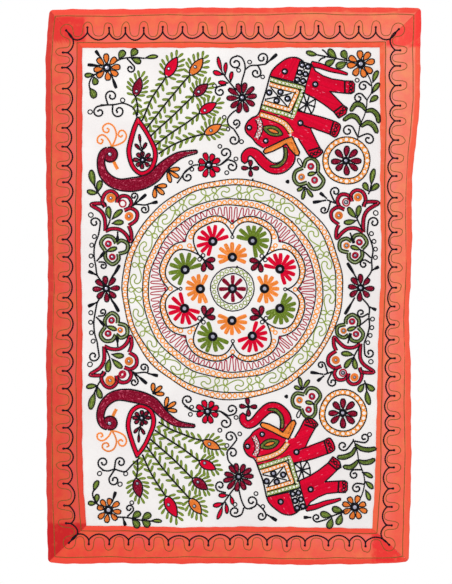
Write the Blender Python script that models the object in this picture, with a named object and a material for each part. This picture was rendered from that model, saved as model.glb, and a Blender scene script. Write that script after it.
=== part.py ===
"""Upright embroidered wall hanging: a white cotton ground with a mitred border of four coral strips.

It hangs flat on a wall. X runs to the right, Y into the wall and Z up, in metres. The origin is the
middle of the top edge, and the worked face looks along -Y.
"""

import math
from collections import namedtuple

import bmesh
import bpy
import numpy as np
from mathutils import Vector

MM = 0.001

# Cloth, hems and laps
GROUND_THICKNESS = 1.2 * MM
STRIP_THICKNESS = 1.2 * MM
OUTER_HEM_WIDTH = 10 * MM
OUTER_HEM_THICKNESS = 1.9 * MM
INNER_TURN_WIDTH = 11 * MM
INNER_TURN_THICKNESS = 1.6 * MM
HEM_SLOPE = 1.5 * MM
PANEL_LAP = 8.5 * MM
PIECE_GAP = 0.3 * MM
CORNER_RADIUS = 8 * MM
SQUARE_WIDTH = 74 * MM
HANGING_HEIGHT = 1.143

# Rows of faces
FACES_ACROSS = 24
FACES_DOWN = 36

# Both side edges of the border at depths below the top, in millimetres from the centre line
Side = namedtuple("Side", "depth outer_left inner_left inner_right outer_right")
SIDES = [
    Side(10, -379.5, -310.5, 301.0, 386.0),
    Side(40, -382.5, -311.0, 301.0, 386.0),
    Side(90, -386.0, -311.5, 301.2, 384.5),
    Side(190, -386.5, -311.5, 301.6, 383.5),
    Side(250, -386.5, -311.6, 302.2, 379.0),
    Side(315, -386.0, -311.8, 302.6, 371.5),
    Side(400, -385.0, -312.5, 302.6, 368.0),
    Side(450, -382.5, -313.8, 303.6, 369.0),
    Side(505, -382.0, -314.8, 304.3, 368.0),
    Side(565, -382.0, -313.0, 303.0, 365.5),
    Side(635, -383.5, -311.5, 299.8, 361.8),
    Side(725, -386.0, -311.3, 297.5, 364.8),
    Side(830, -384.5, -311.5, 294.8, 365.7),
    Side(960, -386.0, -309.8, 291.5, 365.7),
    Side(1035, -384.5, -305.5, 287.5, 363.5),
    Side(1080, -384.0, -302.0, 285.0, 361.8),
    Side(1135, -382.5, -301.5, 284.5, 360.5),
]

# Top and bottom edges across the hanging, in millimetres above the origin
End = namedtuple("End", "across outer_top inner_top inner_bottom outer_bottom")
ENDS = [
    End(-378, -4.2, -82.2, -1065.5, -1142.5),
    End(-345, -3.0, -82.0, -1065.8, -1145.0),
    End(-270, -2.1, -82.0, -1066.3, -1143.3),
    End(-180, -1.2, -81.9, -1067.6, -1143.4),
    End(-70, 0.0, -81.8, -1069.0, -1143.3),
    End(20, 0.8, -81.7, -1069.1, -1144.4),
    End(140, 2.0, -81.6, -1069.3, -1147.0),
    End(210, 2.1, -81.5, -1070.5, -1146.0),
    End(290, 1.2, -81.4, -1071.4, -1143.8),
    End(345, 0.2, -81.4, -1071.4, -1140.5),
    End(380, -0.8, -81.4, -1071.4, -1137.0),
]

# Where the top edge is held
HELD_AT = (-330 * MM, -72 * MM, 165 * MM, 361 * MM)

# Folds of the hung cloth, as depths into the wall
HELD_SAG = 4.0 * MM
HELD_SAG_FADE = 0.12
SWELL = 3.0 * MM
SWELL_WIDTH = 0.43
SWELL_LEAN = 0.35
FOOT_WAVE = 2.2 * MM
FOOT_WAVE_WIDTH = 0.21
FOOT_START = 0.80
RIGHT_ROLL = 7.0 * MM
RIGHT_ROLL_START = 0.29
RIGHT_ROLL_DEPTH = 0.47
RIGHT_ROLL_REACH = 0.24
LEFT_LIFT = 3.0 * MM
LEFT_LIFT_DEPTH = 0.22
LEFT_LIFT_REACH = 0.16

# Mirror discs of the round medallion
MEDALLION_CENTRE = (-2.0 * MM, -578.7 * MM)
MIRROR_RADIUS = 6.5 * MM
MIRROR_THICKNESS = 1.0 * MM
MIRROR_SIDES = 16
Ring = namedtuple("Ring", "name count radius first_angle")
MIRROR_RINGS = [
    Ring("mirror_centre", 1, 0.0, 0.0),
    Ring("mirror_inner", 4, 66 * MM, 0.0),
    Ring("mirror_outer", 8, 106 * MM, 22.5),
]

# Colour as linear red, green and blue; roughness; metallic value
Finish = namedtuple("Finish", "colour roughness metallic")
FINISHES = {
    "white_cotton": Finish((0.90, 0.87, 0.86), 0.90, 0.0),
    "coral_cotton": Finish((0.83, 0.13, 0.08), 0.85, 0.0),
    "mirror": Finish((0.62, 0.60, 0.63), 0.12, 0.9),
}


def clear_scene():
    for item in list(bpy.data.objects):
        bpy.data.objects.remove(item, do_unlink=True)


def smooth_line(rows, place, value):
    """A function that runs smoothly through one column of a table, in metres."""
    places = np.array([getattr(row, place) for row in rows]) * MM
    values = np.array([getattr(row, value) for row in rows]) * MM
    slopes = np.gradient(values, places)

    def at(where):
        where = np.clip(where, places[0], places[-1])
        i = np.clip(np.searchsorted(places, where, side="right") - 1, 0, len(places) - 2)
        step = places[i + 1] - places[i]
        t = (where - places[i]) / step
        return (
            (1 + 2 * t) * (1 - t) ** 2 * values[i]
            + t * (1 - t) ** 2 * step * slopes[i]
            + t * t * (3 - 2 * t) * values[i + 1]
            + t * t * (t - 1) * step * slopes[i + 1]
        )

    return at


side_edge = {name: smooth_line(SIDES, "depth", name) for name in Side._fields[1:]}
end_edge = {name: smooth_line(ENDS, "across", name) for name in End._fields[1:]}


def ease(value):
    value = np.clip(value, 0.0, 1.0)
    return value * value * (3 - 2 * value)


def hump(value):
    """One at zero, falling softly to nothing at plus and minus one."""
    return ease(1 - np.abs(value))


def fold(x, z):
    """How far the middle of the cloth lies from the wall plane at a place on the face."""
    depth = -z
    held = np.interp(x, HELD_AT, range(len(HELD_AT)))
    sag = HELD_SAG * np.sin(math.pi * held) ** 2 * np.exp(-np.maximum(depth, 0) / HELD_SAG_FADE)
    lean = SWELL_LEAN * np.sin(2.6 * depth)
    grow = 0.35 + 0.65 * ease(depth / HANGING_HEIGHT)
    swell = SWELL * grow * np.sin(2 * math.pi * (x / SWELL_WIDTH + lean))
    foot = ease((depth - FOOT_START) / (HANGING_HEIGHT - FOOT_START))
    wave = FOOT_WAVE * foot * np.sin(2 * math.pi * x / FOOT_WAVE_WIDTH + 1.1)
    right = ease((x - RIGHT_ROLL_START) / 0.09) * hump((depth - RIGHT_ROLL_DEPTH) / RIGHT_ROLL_REACH)
    left = ease((-x - 0.30) / 0.08) * hump((depth - LEFT_LIFT_DEPTH) / LEFT_LIFT_REACH)
    return sag + swell + wave + RIGHT_ROLL * right - LEFT_LIFT * left


def corner(side, end):
    """Where a side edge and a top or bottom edge of the table cross."""
    x, z = 0.0, 0.0
    for _ in range(4):
        x = float(side_edge[side](-z))
        z = float(end_edge[end](x))
    return x, z


def stations(length, count):
    """Even places along an edge, with more of them at the rounded corners."""
    even = [length * i / count for i in range(1, count)]
    near = [0.0, CORNER_RADIUS / 2, CORNER_RADIUS]
    return near + even + [length - place for place in reversed(near)]


def edge_points(start, stop, count, line, upright, rounding):
    """Points along one edge from corner to corner; rounding is the inward turn of its two ends."""
    first, last = (start[1], stop[1]) if upright else (start[0], stop[0])
    length = abs(last - first)
    forward = 1 if last > first else -1
    retreat = PIECE_GAP / math.sqrt(2)
    points = []
    for place in stations(length, count):
        near = min(place, length - place)
        inset, along = 0.0, near
        if rounding and near < CORNER_RADIUS:
            turn = math.radians(45) * (1 - near / CORNER_RADIUS)
            inset = CORNER_RADIUS * (1 - math.cos(turn))
            along = CORNER_RADIUS * (1 - math.sin(turn))
        along = max(along, 0.0) + retreat * max(0.0, 1 - near / CORNER_RADIUS)
        at = first + forward * (along if place <= length / 2 else length - along)
        across = float(line(-at if upright else at)) + rounding * inset
        points.append((across, at) if upright else (at, across))
    return points


def strip_rows(width):
    """Rows across a strip from its outer edge: how far in, and the faces' offsets from the fold."""
    back = -GROUND_THICKNESS / 2 - PIECE_GAP
    hem = back - OUTER_HEM_THICKNESS
    single = back - STRIP_THICKNESS
    turn = back - INNER_TURN_THICKNESS
    return [
        (0.0, hem, back),
        (OUTER_HEM_WIDTH, hem, back),
        (OUTER_HEM_WIDTH + HEM_SLOPE, single, back),
        (width / 2, single, back),
        (width - INNER_TURN_WIDTH - HEM_SLOPE, single, back),
        (width - INNER_TURN_WIDTH, turn, back),
        (width, turn, back),
    ]


def closed_cloth(name, front, back, finish):
    """One closed body between two equal grids of points."""
    mesh = bmesh.new()
    rows, columns = len(front), len(front[0])
    faces = [[[mesh.verts.new(point) for point in line] for line in grid] for grid in (front, back)]
    for grid in faces:
        for i in range(rows - 1):
            for j in range(columns - 1):
                mesh.faces.new((grid[i][j], grid[i + 1][j], grid[i + 1][j + 1], grid[i][j + 1]))
    rim = [(i, 0) for i in range(rows)] + [(rows - 1, j) for j in range(1, columns)]
    rim += [(i, columns - 1) for i in reversed(range(rows - 1))]
    rim += [(0, j) for j in reversed(range(1, columns - 1))]
    for (i, j), (k, m) in zip(rim, rim[1:] + rim[:1]):
        mesh.faces.new((faces[0][i][j], faces[0][k][m], faces[1][k][m], faces[1][i][j]))
    bmesh.ops.recalc_face_normals(mesh, faces=mesh.faces)
    return add_object(name, mesh, finish)


def add_object(name, mesh, finish):
    data = bpy.data.meshes.new(name)
    mesh.to_mesh(data)
    mesh.free()
    data.materials.append(finish)
    data.shade_smooth()
    data.set_sharp_from_angle(angle=math.radians(40))
    item = bpy.data.objects.new(name, data)
    bpy.context.scene.collection.objects.link(item)
    return item


def add_strip(name, outer, inner, finish):
    """A border strip between its outer and inner edge points, following the fold."""
    front, back = [], []
    for (outer_x, outer_z), (inner_x, inner_z) in zip(outer, inner):
        width = math.hypot(inner_x - outer_x, inner_z - outer_z)
        square = min(1.0, SQUARE_WIDTH / width)  # slanting lines at the mitres are longer
        front_line, back_line = [], []
        for place, front_offset, back_offset in strip_rows(width * square):
            share = place / (width * square)
            x = outer_x + (inner_x - outer_x) * share
            z = outer_z + (inner_z - outer_z) * share
            y = float(fold(x, z))
            front_line.append((x, y + front_offset, z))
            back_line.append((x, y + back_offset, z))
        front.append(front_line)
        back.append(back_line)
    return closed_cloth(name, front, back, finish)


def add_border(finish):
    """The four strips, mitred where they meet."""
    corners = {
        (level, side, end): corner(f"{level}_{side}", f"{level}_{end}")
        for level in ("outer", "inner")
        for side in ("left", "right")
        for end in ("top", "bottom")
    }
    for side, inward in (("left", 1), ("right", -1)):
        edges = [
            edge_points(
                corners[level, side, "top"],
                corners[level, side, "bottom"],
                FACES_DOWN,
                side_edge[f"{level}_{side}"],
                True,
                inward if level == "outer" else 0,
            )
            for level in ("outer", "inner")
        ]
        add_strip(f"border_{side}", *edges, finish)
    for end, inward in (("top", -1), ("bottom", 1)):
        edges = [
            edge_points(
                corners[level, "left", end],
                corners[level, "right", end],
                FACES_ACROSS,
                end_edge[f"{level}_{end}"],
                False,
                inward if level == "outer" else 0,
            )
            for level in ("outer", "inner")
        ]
        add_strip(f"border_{end}", *edges, finish)


def add_ground(finish):
    """The white panel, which runs on under the border's turned edge."""
    top = float(end_edge["inner_top"](0.0)) + PANEL_LAP
    bottom = float(end_edge["inner_bottom"](0.0)) - PANEL_LAP
    front, back = [], []
    for i in range(FACES_DOWN + 1):
        level = top + (bottom - top) * i / FACES_DOWN
        left = float(side_edge["inner_left"](-level)) - PANEL_LAP
        right = float(side_edge["inner_right"](-level)) + PANEL_LAP
        front_line, back_line = [], []
        for j in range(FACES_ACROSS + 1):
            x = left + (right - left) * j / FACES_ACROSS
            upper = float(end_edge["inner_top"](x)) + PANEL_LAP
            lower = float(end_edge["inner_bottom"](x)) - PANEL_LAP
            z = upper + (lower - upper) * i / FACES_DOWN
            y = float(fold(x, z))
            front_line.append((x, y - GROUND_THICKNESS / 2, z))
            back_line.append((x, y + GROUND_THICKNESS / 2, z))
        front.append(front_line)
        back.append(back_line)
    return closed_cloth("ground_panel", front, back, finish)


def face_direction(x, z):
    """The direction that the worked face looks in at a place."""
    step = 4 * MM
    slope_x = float(fold(x + step, z) - fold(x - step, z)) / (2 * step)
    slope_z = float(fold(x, z + step) - fold(x, z - step)) / (2 * step)
    return Vector((slope_x, -1.0, slope_z)).normalized()


def add_mirror(name, x, z, finish):
    """A thin disc that lies on the ground's face, square to it."""
    mesh = bmesh.new()
    bmesh.ops.create_cone(
        mesh,
        cap_ends=True,
        segments=MIRROR_SIDES,
        radius1=MIRROR_RADIUS,
        radius2=MIRROR_RADIUS,
        depth=MIRROR_THICKNESS,
    )
    item = add_object(name, mesh, finish)
    facing = face_direction(x, z)
    lift = GROUND_THICKNESS / 2 + PIECE_GAP + MIRROR_THICKNESS / 2
    item.location = Vector((x, float(fold(x, z)), z)) + facing * lift
    item.rotation_euler = facing.to_track_quat("Z", "Y").to_euler()
    return item


def add_mirrors(finish):
    for ring in MIRROR_RINGS:
        for i in range(ring.count):
            angle = math.radians(ring.first_angle + 360 * i / ring.count)
            x = MEDALLION_CENTRE[0] + ring.radius * math.cos(angle)
            z = MEDALLION_CENTRE[1] + ring.radius * math.sin(angle)
            name = ring.name if ring.count == 1 else f"{ring.name}_{i + 1}"
            add_mirror(name, x, z, finish)


def add_finish(name):
    colour, roughness, metallic = FINISHES[name]
    finish = bpy.data.materials.new(name)
    finish.use_nodes = True
    shader = finish.node_tree.nodes["Principled BSDF"]
    shader.inputs["Base Color"].default_value = (*colour, 1.0)
    shader.inputs["Roughness"].default_value = roughness
    shader.inputs["Metallic"].default_value = metallic
    finish.diffuse_color = (*colour, 1.0)
    return finish


def main():
    clear_scene()
    add_ground(add_finish("white_cotton"))
    add_border(add_finish("coral_cotton"))
    add_mirrors(add_finish("mirror"))


main()
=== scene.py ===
import math
import bpy
import numpy as np
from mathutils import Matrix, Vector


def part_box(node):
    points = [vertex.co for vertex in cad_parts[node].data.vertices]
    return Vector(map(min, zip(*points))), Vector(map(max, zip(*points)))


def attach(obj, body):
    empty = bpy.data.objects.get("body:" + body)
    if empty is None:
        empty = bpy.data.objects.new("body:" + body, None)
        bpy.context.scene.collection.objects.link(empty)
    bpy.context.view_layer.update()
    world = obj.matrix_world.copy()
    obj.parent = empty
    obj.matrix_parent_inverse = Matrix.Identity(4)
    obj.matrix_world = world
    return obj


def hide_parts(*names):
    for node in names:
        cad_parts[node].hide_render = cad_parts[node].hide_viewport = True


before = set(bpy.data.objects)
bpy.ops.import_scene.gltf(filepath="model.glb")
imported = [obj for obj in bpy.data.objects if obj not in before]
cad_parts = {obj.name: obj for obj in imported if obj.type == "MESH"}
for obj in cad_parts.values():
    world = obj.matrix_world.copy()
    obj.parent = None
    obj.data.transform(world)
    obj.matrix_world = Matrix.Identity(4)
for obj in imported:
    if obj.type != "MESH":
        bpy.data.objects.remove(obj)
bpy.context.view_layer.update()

mm = 0.001

# The chart: a square is one pixel of the photograph's 452 x 584 frame, across and down. The points of stems,
# leaves, peacocks, elephants and palmettes were measured on the photograph
chart = dict(square=2.06 * mm, middle=233.5, top=8.0)


def toCloth(points):  # chart squares to metres across and up
    points = np.asarray(points, float)
    across = (points[:, 0] - chart["middle"]) * chart["square"]
    return np.column_stack([across, -(points[:, 1] - chart["top"]) * chart["square"]])


def toChart(x, z):
    return x / chart["square"] + chart["middle"], -z / chart["square"] + chart["top"]


# The hanging, as it is cut and sewn
cloth = dict(
    thickness=1.2 * mm,
    hemWidth=10 * mm, hemThickness=1.9 * mm,
    turnWidth=11 * mm, turnThickness=1.6 * mm,
    slope=1.5 * mm, lap=8.5 * mm, gap=0.3 * mm,
    cornerRadius=8 * mm, uneven=0.45 * mm, height=1.143,
    facesAcross=132, facesDown=212, stripFaces=5 * mm,
)

sideRows = [  # depth, outer left, inner left, inner right, outer right, in mm
    (10, -379.5, -310.5, 301.0, 386.0),
    (40, -382.5, -311.0, 301.0, 386.0),
    (90, -386.0, -311.5, 301.2, 384.5),
    (190, -386.5, -311.5, 301.6, 383.5),
    (250, -386.5, -311.6, 302.2, 379.0),
    (315, -386.0, -311.8, 302.6, 371.5),
    (400, -385.0, -312.5, 302.6, 368.0),
    (450, -382.5, -313.8, 303.6, 369.0),
    (505, -382.0, -314.8, 304.3, 368.0),
    (565, -382.0, -313.0, 303.0, 365.5),
    (635, -383.5, -311.5, 299.8, 361.8),
    (725, -386.0, -311.3, 297.5, 364.8),
    (830, -384.5, -311.5, 294.8, 365.7),
    (960, -386.0, -309.8, 291.5, 365.7),
    (1035, -384.5, -305.5, 287.5, 363.5),
    (1080, -384.0, -302.0, 285.0, 361.8),
    (1135, -382.5, -301.5, 284.5, 360.5),
]
endRows = [  # across, outer top, inner top, inner bottom, outer bottom, in mm
    (-378, -4.2, -82.2, -1065.5, -1142.5),
    (-345, -3.0, -82.0, -1065.8, -1145.0),
    (-270, -2.1, -82.0, -1066.3, -1143.3),
    (-180, -1.2, -81.9, -1067.6, -1143.4),
    (-70, 0.0, -81.8, -1069.0, -1143.3),
    (20, 0.8, -81.7, -1069.1, -1144.4),
    (140, 2.0, -81.6, -1069.3, -1147.0),
    (210, 2.1, -81.5, -1070.5, -1146.0),
    (290, 1.2, -81.4, -1071.4, -1143.8),
    (345, 0.2, -81.4, -1071.4, -1140.5),
    (380, -0.8, -81.4, -1071.4, -1137.0),
]


def edgeLine(rows, column):  # a smooth line through one column of a table, in metres
    places = np.array([row[0] for row in rows]) * mm
    values = np.array([row[column] for row in rows]) * mm
    slopes = np.gradient(values, places)

    def at(where):
        where = np.clip(where, places[0], places[-1])
        i = np.clip(np.searchsorted(places, where, side="right") - 1, 0, len(places) - 2)
        step = places[i + 1] - places[i]
        t = (where - places[i]) / step
        return (
            (1 + 2 * t) * (1 - t) ** 2 * values[i]
            + t * (1 - t) ** 2 * step * slopes[i]
            + t * t * (3 - 2 * t) * values[i + 1]
            + t * t * (t - 1) * step * slopes[i + 1]
        )

    return at


sideNames = ("outerLeft", "innerLeft", "innerRight", "outerRight")
endNames = ("outerTop", "innerTop", "innerBottom", "outerBottom")
edges = {name: edgeLine(sideRows, k + 1) for k, name in enumerate(sideNames)}
edges.update({name: edgeLine(endRows, k + 1) for k, name in enumerate(endNames)})

# How it hangs: depths into the wall, and where along the cloth they come
hang = dict(
    heldAt=(-330 * mm, -72 * mm, 165 * mm, 361 * mm), sag=4.0 * mm, sagFade=0.12,
    swell=3.0 * mm, swellWidth=0.43, swellLean=0.35, swellTurn=2.6, swellAtTop=0.35,
    footWave=2.2 * mm, footWidth=0.21, footStart=0.80, footShift=1.1,
    rightRoll=7.0 * mm, rightStart=0.29, rightFade=0.09, rightDepth=0.47, rightReach=0.24,
    leftLift=3.0 * mm, leftStart=0.30, leftFade=0.08, leftDepth=0.22, leftReach=0.16,
)


def ease(value):
    value = np.clip(value, 0.0, 1.0)
    return value * value * (3 - 2 * value)


def hump(value):
    return ease(1 - np.abs(value))


def fold(x, z):  # how far the middle of the cloth lies from the wall plane
    depth = -z
    h = hang
    held = np.interp(x, h["heldAt"], range(len(h["heldAt"])))
    sag = h["sag"] * np.sin(math.pi * held) ** 2 * np.exp(-np.maximum(depth, 0) / h["sagFade"])
    lean = h["swellLean"] * np.sin(h["swellTurn"] * depth)
    grow = h["swellAtTop"] + (1 - h["swellAtTop"]) * ease(depth / cloth["height"])
    swell = h["swell"] * grow * np.sin(2 * math.pi * (x / h["swellWidth"] + lean))
    foot = ease((depth - h["footStart"]) / (cloth["height"] - h["footStart"]))
    wave = h["footWave"] * foot * np.sin(2 * math.pi * x / h["footWidth"] + h["footShift"])
    right = ease((x - h["rightStart"]) / h["rightFade"]) * hump((depth - h["rightDepth"]) / h["rightReach"])
    left = ease((-x - h["leftStart"]) / h["leftFade"]) * hump((depth - h["leftDepth"]) / h["leftReach"])
    return sag + swell + wave + h["rightRoll"] * right - h["leftLift"] * left


# Stitches are gathered here first, group by group and thread by thread, and made into meshes at the end
work = {}
glasses = []  # small mirror discs: place, radius, height above the cloth
rims = []  # rings of stitches that hold a mirror: place, inner and outer radius, height
job = dict(group="", move=None, level=0.0)
rowWidth = 1.4  # chart squares between rows of filling
layer = 0.3 * mm  # how far one level of stitches stands above the one below
heft = dict(black=1.22, lime=1.1, moss=1.15, gold=1.12, crimson=1.05)  # how much fuller a thread is sewn


def begin(group, move=None):
    job.update(group=group, move=move, level=0.0)
    print("stitching", group)


def affine(pairs):  # the even stretch that carries each first place to its second, as nearly as it can
    first = np.array([pair[0] for pair in pairs], float)
    second = np.array([pair[1] for pair in pairs], float)
    terms = np.linalg.lstsq(np.column_stack([first, np.ones(len(first))]), second, rcond=None)[0]
    return lambda points: np.column_stack([points, np.ones(len(points))]) @ terms


def wobble(points):  # the unsteadiness of work that was drawn and sewn by hand
    u, v = points[:, 0], points[:, 1]
    du = 0.30 * np.sin(u / 9.1 + v / 13.7) + 0.22 * np.sin(v / 5.3 - u / 17.0 + 1.3)
    dv = 0.30 * np.sin(v / 8.3 - u / 12.9 + 2.1) + 0.22 * np.sin(u / 5.9 + v / 19.0)
    return points + np.column_stack([du, dv])


def onCloth(points):
    points = np.asarray(points, float).reshape(-1, 2)
    if job["move"]:
        points = job["move"](points)
    return wobble(points)


def sew(thread, path, width=1.6, closed=False, kind="chain", over=0.0):
    entry = (onCloth(path), width * heft.get(thread, 1.0), closed, kind, job["level"] + over)
    work.setdefault((job["group"], thread), []).append(entry)


def smooth(points, closed=False, steps=7):  # a round line through the points
    p = np.asarray(points, float)
    if len(p) < 3:
        return p
    if closed:
        p = np.vstack([p[-1:], p, p[:2]])
    else:
        p = np.vstack([2 * p[0] - p[1], p, 2 * p[-1] - p[-2]])
    t = np.linspace(0, 1, steps, endpoint=False)[:, None]
    runs = []
    for a, b, c, d in zip(p, p[1:], p[2:], p[3:]):
        turn = (2 * a - 5 * b + 4 * c - d) * t**2 + (3 * b - a - 3 * c + d) * t**3
        runs.append(b + 0.5 * ((c - a) * t + turn))
    if not closed:
        runs.append(p[-2:-1])
    return np.vstack(runs)


def even(path, step, closed=False, multiple=1):  # evenly spaced places along a path
    if closed:
        path = np.vstack([path, path[:1]])
    reach = np.concatenate([[0.0], np.cumsum(np.hypot(*np.diff(path, axis=0).T))])
    count = max(1, round(reach[-1] / step / multiple)) * multiple
    at = np.linspace(0, reach[-1], count + 1)
    if closed:
        at = at[:-1]
    return np.column_stack([np.interp(at, reach, path[:, k]) for k in (0, 1)])


def sideways(path, closed=False):  # unit directions square to the path
    if closed:
        way = np.roll(path, -1, axis=0) - np.roll(path, 1, axis=0)
    else:
        way = np.gradient(path, axis=0)
    way /= np.maximum(np.hypot(way[:, 0], way[:, 1]), 1e-9)[:, None]
    return np.column_stack([way[:, 1], -way[:, 0]])


def polar(centre, radius, angle):  # angles in degrees, clockwise from the right on the chart
    angle = np.radians(angle)
    return np.column_stack(np.broadcast_arrays(
        centre[0] + radius * np.cos(angle), centre[1] + radius * np.sin(angle)))


def beside(path, offset):  # a smooth line that runs a little to one side of a path
    path = smooth(path)
    return path + sideways(path) * offset


def circle(thread, centre, radius, width=1.3, kind="thin", over=0.0):
    sew(thread, polar(centre, radius, np.linspace(0, 360, 20, endpoint=False)), width, True, kind, over)


spiralForm = dict(turns=1.2, closing=0.78, width=1.7, eyeWidth=1.35)


def curl(start, eye, radius, turn):
    # a stem that runs onto a spiral round its eye; turn is 1 for clockwise on the chart, else -1
    away = np.subtract(start, eye)
    reach = max(math.hypot(*away), radius * 1.001)
    first = math.degrees(math.atan2(away[1], away[0]) + turn * math.acos(radius / reach))
    share = np.linspace(0, 1, 16)
    s = spiralForm
    spiral = polar(eye, radius * (1 - s["closing"] * share), first + turn * 360 * s["turns"] * share)
    sew("black", smooth(np.vstack([[start], spiral]), steps=3), s["width"])
    sew("black", spiral[-3:], s["width"] * s["eyeWidth"], kind="fill", over=0.3)


def blade(base, tip, width, widest=0.6, form=(1.1, 0.5), bend=0.0):
    # a leaf form: its axis and half width; the form's two numbers say how full its base and its tip are
    base, tip = np.asarray(base, float), np.asarray(tip, float)
    length = math.hypot(*(tip - base))
    way = (tip - base) / length
    side = np.array([way[1], -way[0]])

    def line(offset, share):
        arch = bend * length * 4 * share * (1 - share)
        return base + way * (share * length)[:, None] + side * (arch + offset)[:, None]

    def half(share):
        rising = np.sin(math.pi / 2 * np.clip(share / widest, 0, 1)) ** form[0]
        falling = np.cos(math.pi / 2 * np.clip((share - widest) / (1 - widest), 0, 1)) ** form[1]
        return width / 2 * rising * falling

    return line, half, length


def loopLine(base, tip, width, widest, form, count=9):  # the closed edge of a leaf form
    line, half, _ = blade(base, tip, width, widest, form)
    share = np.linspace(0, 1, count)
    return np.vstack([line(half(share), share), line(-half(share), share)[-2:0:-1]])


def leaf(thread, base, tip, width, widest=0.64, form=(1.1, 0.5), bend=0.0, edge=1.2, outline="black"):
    line, half, length = blade(base, tip, width, widest, form, bend)
    if outline:
        share = (0.5 - 0.5 * np.cos(np.linspace(0, math.pi, 17))) * (1 - edge / 2 / length)
        offsets = np.maximum(half(share) - edge / 2, 0.03)
        border = np.vstack([line(offsets, share), line(-offsets, share)[-2:0:-1]])
        sew(outline, border, edge, True, "chain", 1.1)
    inset = edge if outline else 0.2
    inner = np.linspace(0.08, 1 - inset / length, 18)
    room = np.maximum(half(inner) - inset * 0.75, 0)
    rows = max(1, math.ceil(2 * room.max() / 1.5))
    wide = max(1.1, 2 * room.max() / rows * 1.3)
    kept = room > 0.1
    if kept.sum() < 4:
        kept = np.ones(len(inner), bool)
    for k in range(rows):
        offset = (2 * (k + 0.5) / rows - 1) * room
        sew(thread, line(offset, inner)[kept], wide, kind="fill")
    if thread == "green" and width > 4:
        sew("lime", line(np.zeros(8), np.linspace(0.34, 0.84, 8)), 1.0, kind="thin", over=1.9)


def bud(base, tip, width=3.4):
    base, tip = np.asarray(base, float), np.asarray(tip, float)
    sew("black", [base, base + (tip - base) * 0.6], 1.7)
    leaf("black", base + (tip - base) * 0.3, tip, width, 0.74, (0.8, 0.3), outline="")


mirrorRim = dict(under=0.92, height=1.5 * mm)  # where its stitches start on the glass, and their height


def mirror(centre, radius, rim, lift=0.0):
    place = onCloth([centre])[0]
    glasses.append((place, radius, lift))
    rims.append((place, radius * mirrorRim["under"], rim, mirrorRim["height"] + lift))


def flower(thread, centre, reach, width, count=8, first=0.0, ring=3.1, glass=1.6, jitter=5.0):
    turn = random.uniform(-jitter, jitter, count)
    size = random.uniform(0.93, 1.05, count)
    for k in range(count):
        angle = first + 360 * k / count + turn[k]
        base, tip = polar(centre, np.array([ring * 0.8, reach * size[k]]), angle)
        leaf(thread, base, tip, width * 1.1, 0.66, (1.05, 0.42))
    if glass:
        circle("black", centre, ring * 0.98, 1.9, "chain", 0.8)
        mirror(centre, glass * 0.86, ring * 1.04, lift=0.4 * mm)
    else:
        circle("black", centre, 1.0, 2.0, "chain", 0.8)


def spray(parts):  # stems, leaves, curls, loops and buds of one growth
    for stem in parts.get("stems", ()):
        sew("black", smooth(stem), parts.get("line", 1.6))
    for base, tip, width in parts.get("leaves", ()):
        leaf("green", base, tip, width * 1.2, 0.62, (1.0, 0.5), 0.04)
    for base, tip, width in parts.get("redLeaves", ()):
        leaf("red", base, tip, width, 0.62, (1.0, 0.5), 0.04)
    for start, eye, radius, turn in parts.get("curls", ()):
        curl(start, eye, radius, turn)
    for u, v, radius in parts.get("loops", ()):
        circle("black", (u, v), radius, 1.35)
    for base, tip in parts.get("buds", ()):
        bud(base, tip)


random = np.random.default_rng(7)

# Corner flowers with their branches
cornerTopLeft = dict(
    flower=(107, 67.5), reach=14.2, width=6.0, count=8, first=-95,
    stems=[[(114.6, 62.4), (119.7, 59.8), (125.8, 58.3), (135.5, 57.5), (144.2, 58.5)],
           [(102.9, 71), (94.2, 75.1), (89.6, 82.8), (90.1, 89.9)]],
    leaves=[((119.2, 58.8), (125.3, 51.1), 6.4), ((131.4, 56.8), (137, 49.1), 6.4),
            ((131.4, 58.8), (141.1, 62.9), 5.6), ((144.2, 58.5), (158, 56.8), 4.2),
            ((93.7, 74.1), (84.3, 75.9), 4.6), ((94.2, 76.7), (96.2, 85.3), 6.0),
            ((90.1, 87.9), (95.2, 98.1), 6.4)],
    curls=[((127.4, 58.8), (130.3, 68.4), 4.3, 1)],
    buds=[((101.6, 58.5), (95.2, 50.1)), ((102.4, 65.2), (86.8, 64.9)), ((111, 73), (116.5, 89))],
)
cornerTopRight = dict(
    flower=(360.9, 63.5), reach=14.2, width=6.2, count=8, first=-100,
    stems=[[(357.4, 61.8), (348.8, 60.6), (340.2, 59.2), (331, 57.2), (317.2, 54.9)],
           [(328.7, 56), (325, 51.5), (321.8, 49.2)], [(325.3, 57), (321, 58.6), (318.1, 61.8)]],
    leaves=[((347.7, 59.5), (342.5, 50.3), 6.3), ((347.7, 61.8), (335.6, 67), 6.6),
            ((337.3, 58.4), (328.1, 48.6), 6), ((335.6, 59.2), (324.7, 64.7), 6),
            ((317.8, 54.9), (306, 52.3), 5)],
)
cornerBottomLeft = dict(
    flower=(108.9, 509.8), reach=12.8, width=5.4, count=8, first=-80,
    stems=[[(105.6, 509.8), (96.4, 503.2), (92.3, 494.9), (94.8, 487.4)],
           [(111.4, 513.1), (117.2, 516.9), (125.5, 517.7), (140.4, 519.8), (150.3, 520.6), (159.9, 521)]],
    leaves=[((93.5, 491.6), (98.5, 480), 5), ((96.9, 503.2), (97.3, 494), 5),
            ((96.4, 503.6), (87.7, 502.8), 4.5), ((132.1, 518.1), (140.4, 511.9), 6.3),
            ((142, 518.9), (151.2, 513.1), 6.5), ((132.1, 519.8), (139.6, 527.4), 6.5),
            ((142, 520.2), (150.3, 526.1), 6.5), ((150.3, 520.6), (162.3, 521), 3.8)],
    curls=[((127.1, 516.9), (129.0, 508.6), 4.3, -1)], loops=[(131.6, 502.5, 1.9)],
    buds=[((112.2, 502.3), (116.3, 490.7)), ((123, 518.1), (125.5, 526.2))],
)
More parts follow.
